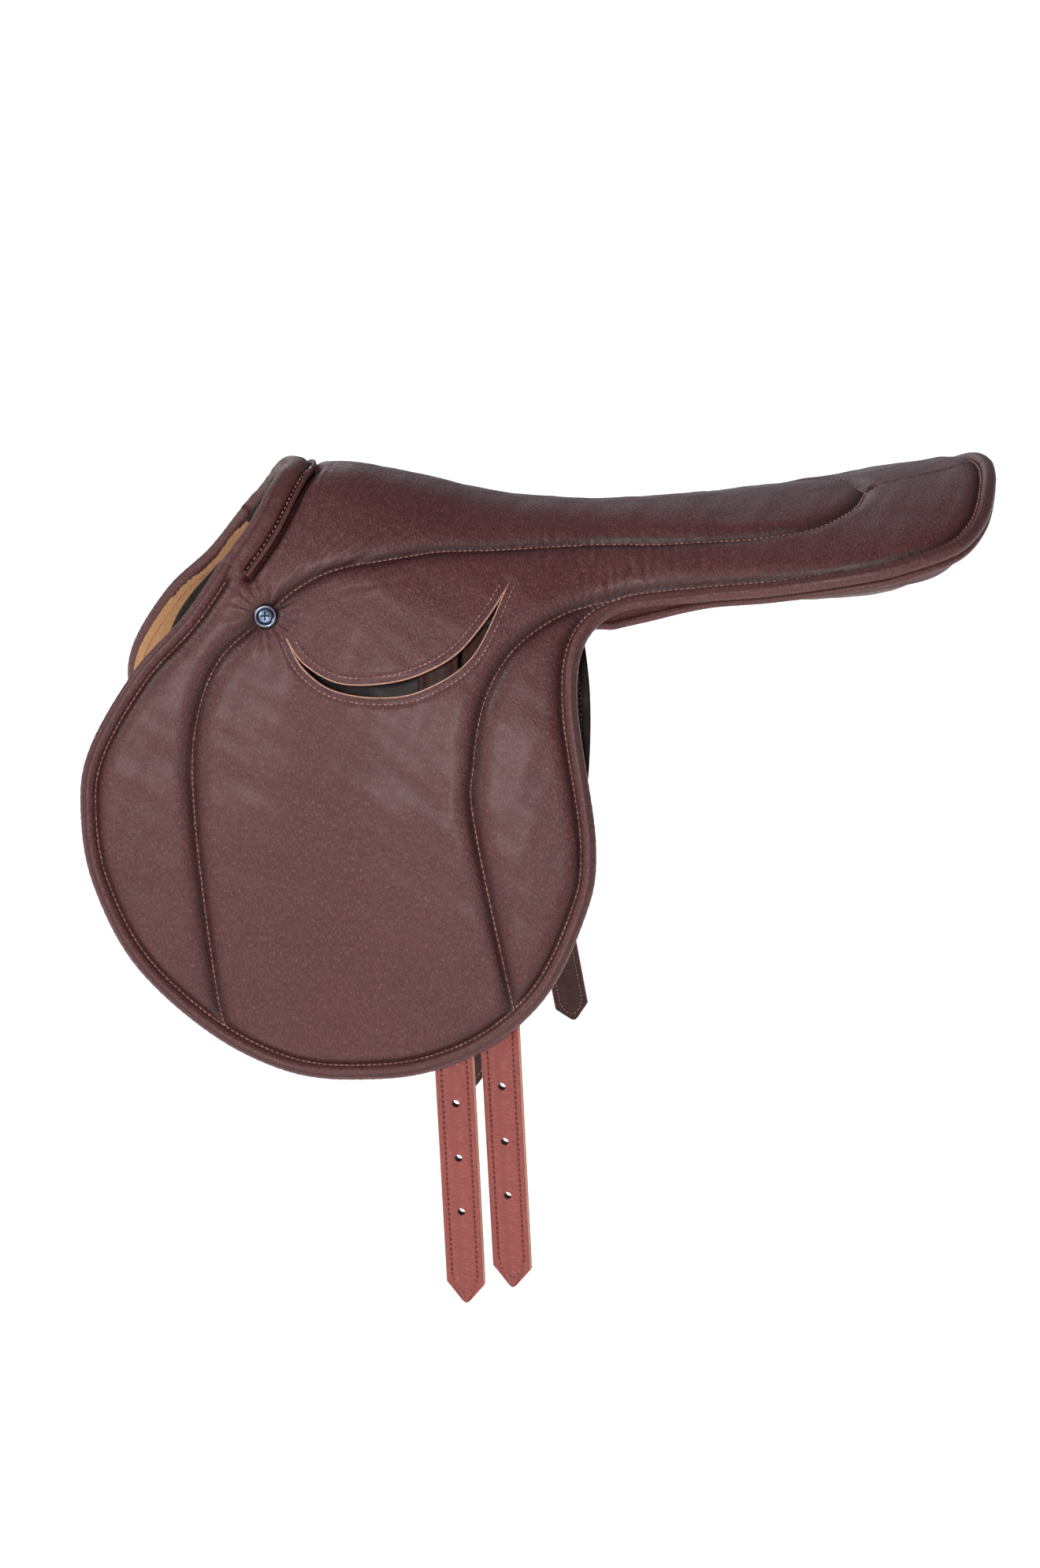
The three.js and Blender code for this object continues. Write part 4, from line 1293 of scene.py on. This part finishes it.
def strap_surface(place, side):
    """A function from (height along the strap, distance over its width, lift) to points."""
    measures = BILLETS[place]
    which = list(SIDES).index(side)
    lean, flare, twist = (math.radians(measures[key][which]) for key in ("lean", "flare", "twist"))

    def face(z):
        below = np.minimum(z - BILLET_FLAT_FROM_Z, 0)
        hanging = across_at_depth(measures["x"], np.maximum(z, BILLET_FLAT_FROM_Z), BILLET_DEPTH)
        return np.stack([hanging - below * math.sin(flare), z + below * (math.cos(flare) - 1)], axis=-1)

    def surface(z, width, lift):
        z, width, lift = np.broadcast_arrays(z, width, lift)
        centre = face(z)
        along = unit(face(z + 0.004) - face(z - 0.004))
        turn = twist * eased(-z, 0.10, 0.24)
        x = width * np.cos(turn) - lift * np.sin(turn)
        out = width * np.sin(turn) + lift * np.cos(turn)
        y = centre[..., 0] + out * along[..., 1]
        height = centre[..., 1] - out * along[..., 0] - BILLET_PIVOT_Z
        return np.stack([
            measures["x"] + x * math.cos(lean) - height * math.sin(lean),
            y,
            BILLET_PIVOT_Z + height * math.cos(lean) + x * math.sin(lean),
        ], axis=-1)

    return surface


def strap_half_width(z, tip):
    rounded_tip = np.interp(z - tip, [0, 0.0015, BILLET_POINT], [0.0008, 0.0028, BILLET_WIDTH / 2])
    return np.minimum(rounded_tip, BILLET_WIDTH / 2)


def strap_section():
    """Half of a strap's section, as (share of the half width, inset, lift), from face to back."""
    thick = BILLET_THICKNESS
    return [
        (0, 0, 0.0003), (0.3, 0, 0.0003), (0.55, 0, 0.0002), (1, STRAP_SEAM + 0.0008, 0),
        (1, STRAP_SEAM, -0.0004), (1, STRAP_SEAM - 0.0008, 0), (1, 0.0014, 0), (1, 0.0005, -0.0003),
        (1, 0, -0.0010), (1, 0, 0.0010 - thick), (1, 0.0006, -thick), (0.5, 0, -thick), (0, 0, -thick),
    ]


EDGE_OF_SECTION = 7
BACK_OF_SECTION = 10

# All four straps get the dark strap-back colour above this height as painted shade for the inside of the
# slot, 13.5 mm below the lowest point of the slot.
STRAP_PAINTED_SHADE_Z = -0.048


def add_materials(piece, *materials):
    for material in materials:
        piece.data.materials.append(material)


def make_billet(place, side):
    tip = BILLETS[place]["tip"]
    surface = strap_surface(place, side)
    heights = np.concatenate([
        np.linspace(BILLET_TOP_Z, tip + BILLET_POINT + 0.001, 130),
        np.linspace(tip + BILLET_POINT, tip, 12),
    ])
    half = strap_section()
    loop = half + [(-share, inset, lift) for share, inset, lift in half[-2:0:-1]]
    points = []
    for z in heights:
        limit = strap_half_width(z, tip)
        widths = []
        for share, inset, _ in loop:
            widths.append(np.sign(share) * max(abs(share) * limit - inset * limit / (BILLET_WIDTH / 2), 0))
        points.append(surface(z, np.array(widths), np.array([lift for _, _, lift in loop])))
    count = len(loop)
    faces = grid_faces(len(heights), count, closed=True)
    ends = [tuple(range(count)), tuple(range(len(heights) * count - 1, (len(heights) - 1) * count - 1, -1))]
    piece = new_piece(f"strap_{place}_{side}", np.concatenate(points), faces + ends, SIDES[side], BILLET)
    add_materials(piece, TAN_EDGE, STRAP_BACK)
    for i, polygon in enumerate(piece.data.polygons):
        column = min(i % count, count - 1 - i % count)
        # faces high on the strap get the strap-back colour as painted shade; back faces get it as their own
        # colour with painted shade
        in_painted_shade = polygon.center.z > STRAP_PAINTED_SHADE_Z
        if in_painted_shade or column >= EDGE_OF_SECTION:
            polygon.material_index = 2 if in_painted_shade or column >= BACK_OF_SECTION else 1
    rim = np.linspace(0, 2 * BILLET_WIDTH, count)
    set_layout(piece, [(z, v) for z in heights for v in rim])
    tidy_shell(piece)
    punch_holes(piece, surface, tip, SIDES[side])
    piece.data.shade_smooth()
    piece.data.set_sharp_from_angle(angle=math.radians(50))
    finished(piece, replaces=[f"billet_{place}_{side}"])
    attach(piece, f"billet_{place}_{side}")
    make_strap_stitches(place, side, surface, tip)


def punch_holes(piece, surface, tip, sign):
    """Cuts the round holes for a buckle's tongue."""
    points, faces = [], []
    around = 16
    for i in range(BILLET_HOLE_COUNT):
        z = tip + BILLET_TIP_TO_HOLE + i * BILLET_HOLE_PITCH
        base = len(points)
        for lift in (0.004, -0.009):
            for turn in np.arange(around) * 2 * math.pi / around:
                step = BILLET_HOLE_RADIUS * np.array([math.cos(turn), math.sin(turn)])
                points.append(surface(z + step[0], step[1], lift))
        ring = list(range(base, base + around))
        faces += [tuple(ring), tuple(k + around for k in ring[::-1])]
        for a, b in zip(ring, ring[1:] + ring[:1]):
            faces.append((b, a, a + around, b + around))
    cutter = tidy_shell(new_piece("hole_cutter", points, faces, sign, BILLET))
    add_materials(cutter, TAN_EDGE, STRAP_BACK)
    for polygon in cutter.data.polygons:
        polygon.material_index = 2
    cut_away(piece, cutter)


def cut_away(piece, cutter):
    """Subtracts a closed cutter from a piece, and removes the cutter."""
    modifier = piece.modifiers.new("cut", "BOOLEAN")
    modifier.operation = "DIFFERENCE"
    modifier.solver = "EXACT"
    modifier.object = cutter
    evaluated = piece.evaluated_get(bpy.context.evaluated_depsgraph_get())
    result = bpy.data.meshes.new_from_object(evaluated)
    piece.modifiers.clear()
    piece.data = result
    bpy.data.objects.remove(cutter)


def make_strap_stitches(place, side, surface, tip):
    row = BILLET_WIDTH / 2 - STRAP_SEAM
    path = evenly(np.array([
        (-0.02, row), (tip + 0.020, row), (tip + 0.011, row - 0.003), (tip + 0.0065, 0),
        (tip + 0.011, 0.003 - row), (tip + 0.020, -row), (-0.02, -row),
    ]), 0.0036)
    middles = (path[1:] + path[:-1]) / 2
    half = unit(np.diff(path, axis=0)) * STITCH_LENGTH / 2
    starts, ends = middles - half, middles + half
    crown = unit(surface(*middles.T, 0.001) - surface(*middles.T, 0.0))
    behind = -BILLET_THICKNESS - 0.0002
    for face, lift, material, way in (("front", 0.0, DARK_THREAD, 1), ("back", behind, THREAD, -1)):
        piece = thread(
            f"strap_stitches_{face}_{place}_{side}", surface(*starts.T, lift), surface(*ends.T, lift),
            crown * way, SIDES[side], material,
        )
        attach(piece, f"billet_{place}_{side}")


# ------------------------------------------------------------------ stud

STUD_RADIUS = 0.0072
STUD_SINK = 0.0022
CUP_HOLE_RADIUS = 0.0044
SCREW_RADIUS = 0.0042
SHANK_RADIUS = 0.002
CROSS_LENGTH = 0.0026
CROSS_WIDTH = 0.0006


def turned(name, profile, side, material):
    """A shape turned about the stud's axis, from (radius, height above the leather)."""
    centre = laid(*stud_place, STUD_SINK)
    normal = normals_at(*stud_place)
    along = unit(np.array([1.0, 0, 0]) - normal[0] * normal)
    across = np.cross(normal, along)
    around = 48
    points = [
        centre + radius * (math.cos(turn) * along + math.sin(turn) * across) + height * normal
        for radius, height in profile
        for turn in np.arange(around) * 2 * math.pi / around
    ]
    faces = grid_faces(len(profile), around, closed=True)
    piece = tidy_shell(new_piece(name, points, faces, SIDES[side], material), 1e-5)
    return piece, centre, normal, along, across


def bar_cutter(centre, normal, along, across, size, side):
    corners = [
        centre + a * size[0] * along + b * size[1] * across + (0.0034 + c * 0.0012) * normal
        for a in (-1, 1) for b in (-1, 1) for c in (-1, 1)
    ]
    faces = [(0, 1, 3, 2), (4, 6, 7, 5), (0, 4, 5, 1), (2, 3, 7, 6), (0, 2, 6, 4), (1, 5, 7, 3)]
    cutter = tidy_shell(new_piece("slot_cutter", corners, faces, SIDES[side], NICKEL))
    # the cross slot's faces get black leather: painted shade in the recess of the screw head
    add_materials(cutter, BLACK)
    for polygon in cutter.data.polygons:
        polygon.material_index = 1
    return cutter


def make_stud(side):
    inner, outer = CUP_HOLE_RADIUS, STUD_RADIUS
    cup = [
        (inner, 0.0), (inner, 0.0012), (inner + 0.0003, 0.0018), (inner + 0.0009, 0.0021),
        (outer - 0.0010, 0.0023), (outer - 0.0003, 0.0019), (outer, 0.0010), (outer, -0.0006),
        (inner, -0.0006), (inner, 0.0),
    ]
    washer = turned(f"stud_cup_{side}", cup, side, DARK_NICKEL)[0]
    finished(washer, replaces=[f"stud_washer_{side}"])
    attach(washer, "root")
    dome = [
        (1e-6, -0.008), (SHANK_RADIUS, -0.008), (SHANK_RADIUS, 0.0008), (SCREW_RADIUS, 0.0008),
        (SCREW_RADIUS, 0.0016),
    ]
    dome += [(SCREW_RADIUS * math.cos(t), 0.0016 + 0.0017 * math.sin(t)) for t in np.linspace(0.15, 1.5, 9)]
    dome.append((1e-6, 0.0033))
    head, *axes = turned(f"stud_head_{side}", dome, side, NICKEL)
    add_materials(head, BLACK)
    for size in ((CROSS_LENGTH, CROSS_WIDTH), (CROSS_WIDTH, CROSS_LENGTH)):
        cut_away(head, bar_cutter(*axes, size, side))
    head.data.set_sharp_from_angle(angle=math.radians(40))
    finished(head, replaces=[f"stud_screw_{side}"])
    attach(head, "root")


# ------------------------------------------------------------------ foam, webs and the tree

FOAM_DEPTH = 0.0058
FOAM_THICKNESS = 0.0042
WEB_DEPTH = 0.0109
SEAT_WEB_DEPTH = 0.0134
WEB_THICKNESS = 0.0016
CHANNEL_DEPTH = 0.0269
CHANNEL_THICKNESS = 0.002
CHANNEL_HALF_WIDTH = 0.027


def make_slab(name, first, last, low, high, depth, thickness, material, side=1, columns=24):
    """A flat layer inside the seat, between two stations and two distances from the centre plane."""
    stations = np.linspace(first, last, max(int((last - first) / 0.004), 6))
    x, share = np.meshgrid(stations, np.linspace(0, 1, columns), indexing="ij")
    across = low(x) + (high(x) - low(x)) * share
    edge = np.minimum(share, 1 - share) * (high(x) - low(x))
    ends = np.minimum(x - first, last - x)
    plump = rounded(edge, 0.002) * rounded(ends, 0.002) * 0.9 + 0.1
    slab = closed_layer(
        f"{name}_layer", x, across, depth + thickness * (1 - plump) / 2,
        depth + thickness * (1 + plump) / 2, side, material,
    )
    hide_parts(name)
    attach(slab, "root")
    return slab


def level(value):
    return lambda x: np.full(np.shape(x), value)


def make_inside():
    """The seat foam, the webs that carry it and the girth straps, and the channel's lining.

    The girth webs get black leather as painted shade, because they show through the slot.
    """
    span = through([
        (-0.112, 0.050), (-0.050, 0.054), (0.030, 0.058), (0.066, 0.060), (0.150, 0.082),
        (0.225, 0.088), (0.268, 0.058),
    ])
    foam = make_slab(
        "seat_foam", -0.112, 0.268, lambda x: -span(x), span, FOAM_DEPTH, FOAM_THICKNESS, FOAM,
        columns=40,
    )
    make_slab(
        "cross_web", 0.070, 0.108, level(-0.062), level(0.062), WEB_DEPTH, WEB_THICKNESS, WEBBING,
    )
    for place, measures in BILLETS.items():
        middle, half = measures["x"], BILLET_WIDTH / 2 + 0.0005
        reach = across_at(middle, 0.006)
        # black leather on the girth webs is painted shade in the slot
        make_slab(
            f"girth_web_{place}", middle - half, middle + half, level(-reach), level(reach),
            WEB_DEPTH, WEB_THICKNESS, BLACK, columns=60,
        )
    make_slab(
        "channel_lining", -0.104, 0.236, level(-CHANNEL_HALF_WIDTH), level(CHANNEL_HALF_WIDTH),
        CHANNEL_DEPTH, CHANNEL_THICKNESS, BLACK,
    )
    for side, sign in SIDES.items():
        make_slab(
            f"seat_web_{side}", -0.112, 0.240, level(0.006), level(0.040), SEAT_WEB_DEPTH,
            WEB_THICKNESS, WEBBING, side=sign,
        )


def finish_hard_parts():
    """Materials for the CAD parts that show as they are."""
    finishes = {
        "tree_head_arch": BLACK, "tree_cantle": WOOD, "tree_rail": WOOD, "gullet_plate": STEEL,
        "stirrup_bar": STEEL, "bar_catch": STEEL, "catch_pin": STEEL, "bar_rivet": STEEL,
    }
    for name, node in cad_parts.items():
        for start, material in finishes.items():
            if name.startswith(start):
                node.material_slots[0].material = material


# ------------------------------------------------------------------ stage, light and camera


FLOOR_REACH = 60.0
FLOOR_DROP = 0.012


def make_stage():
    """A pale floor a little below the tips of the straps."""
    height = cad_box[0][2] - FLOOR_DROP
    mesh = bpy.data.meshes.new("floor")
    corners = [(-1, -1), (1, -1), (1, 1), (-1, 1)]
    mesh.from_pydata([(x * FLOOR_REACH, y * FLOOR_REACH, height) for x, y in corners], [], [(0, 1, 2, 3)])
    floor = bpy.data.objects.new("floor", mesh)
    bpy.context.scene.collection.objects.link(floor)
    nodes = Nodes("floor paint")
    place = nodes.add("ShaderNodeTexCoord").outputs["Object"]
    cloud = nodes.noise(place, 3)
    nodes.link(nodes.mix(cloud, (0.80, 0.80, 0.80, 1), (0.84, 0.84, 0.84, 1)), "Base Color")
    nodes.set(Roughness=0.9, Emission_Color=(1, 1, 1, 1), Emission_Strength=0.84)
    mesh.materials.append(nodes.material)


def area_light(name, place, target, size, power, colour):
    data = bpy.data.lights.new(name, "AREA")
    data.size = size
    data.energy = power
    data.color = colour
    lamp = bpy.data.objects.new(name, data)
    lamp.location = place
    lamp.rotation_euler = (Vector(target) - Vector(place)).to_track_quat("-Z", "Y").to_euler()
    bpy.context.scene.collection.objects.link(lamp)


LIGHT_AIM = (0, 0, -0.05)
LIGHTS = {
    "key": {"place": (-0.30, -2.5, 0.90), "size": 0.35, "watts": 50, "colour": (1.0, 0.95, 0.93)},
    "front": {"place": (-2.3, -0.8, 1.7), "size": 0.5, "watts": 44, "colour": (1.0, 0.96, 0.95)},
    "back": {"place": (-1.2, 3.4, 1.4), "size": 2.0, "watts": 24, "colour": (0.96, 0.97, 1.0)},
}
SKY_COLOUR = (0.80, 0.88, 1.0, 1)
SKY_STRENGTH = 0.34


def make_lights():
    world = bpy.data.worlds.new("studio")
    world.use_nodes = True
    world.node_tree.nodes["Background"].inputs["Color"].default_value = SKY_COLOUR
    world.node_tree.nodes["Background"].inputs["Strength"].default_value = SKY_STRENGTH
    bpy.context.scene.world = world
    for name, light in LIGHTS.items():
        area_light(name, light["place"], LIGHT_AIM, light["size"], light["watts"], light["colour"])
    bpy.context.scene.view_settings.view_transform = "Standard"


CAMERA_PLACE = (0.0004, -1.6125, 0.5102)
CAMERA_TILT = 68.4
LENS = 62
SENSOR_WIDTH = 36


def make_camera():
    """The photograph's view, along +Y and 21.6 degrees down."""
    data = bpy.data.cameras.new("camera")
    data.lens = LENS
    data.sensor_width = SENSOR_WIDTH
    camera = bpy.data.objects.new("camera", data)
    camera.location = CAMERA_PLACE
    camera.rotation_euler = (math.radians(CAMERA_TILT), 0, 0)
    bpy.context.scene.collection.objects.link(camera)
    bpy.context.scene.camera = camera


make_camera()
make_stage()
make_lights()
make_head()
make_inside()
finish_hard_parts()
for side in SIDES:
    make_cover(side)
    make_cover_stitches(side)
    make_bead(side)
    make_slot_edges(side)
    make_flap_lining(side)
    make_skirt_back(side)
    make_sweat_flap(side)
    make_panel(side)
    make_panel_bead(side)
    make_rim_wall(side)
    make_stud(side)
    for place in BILLETS:
        make_billet(place, side)
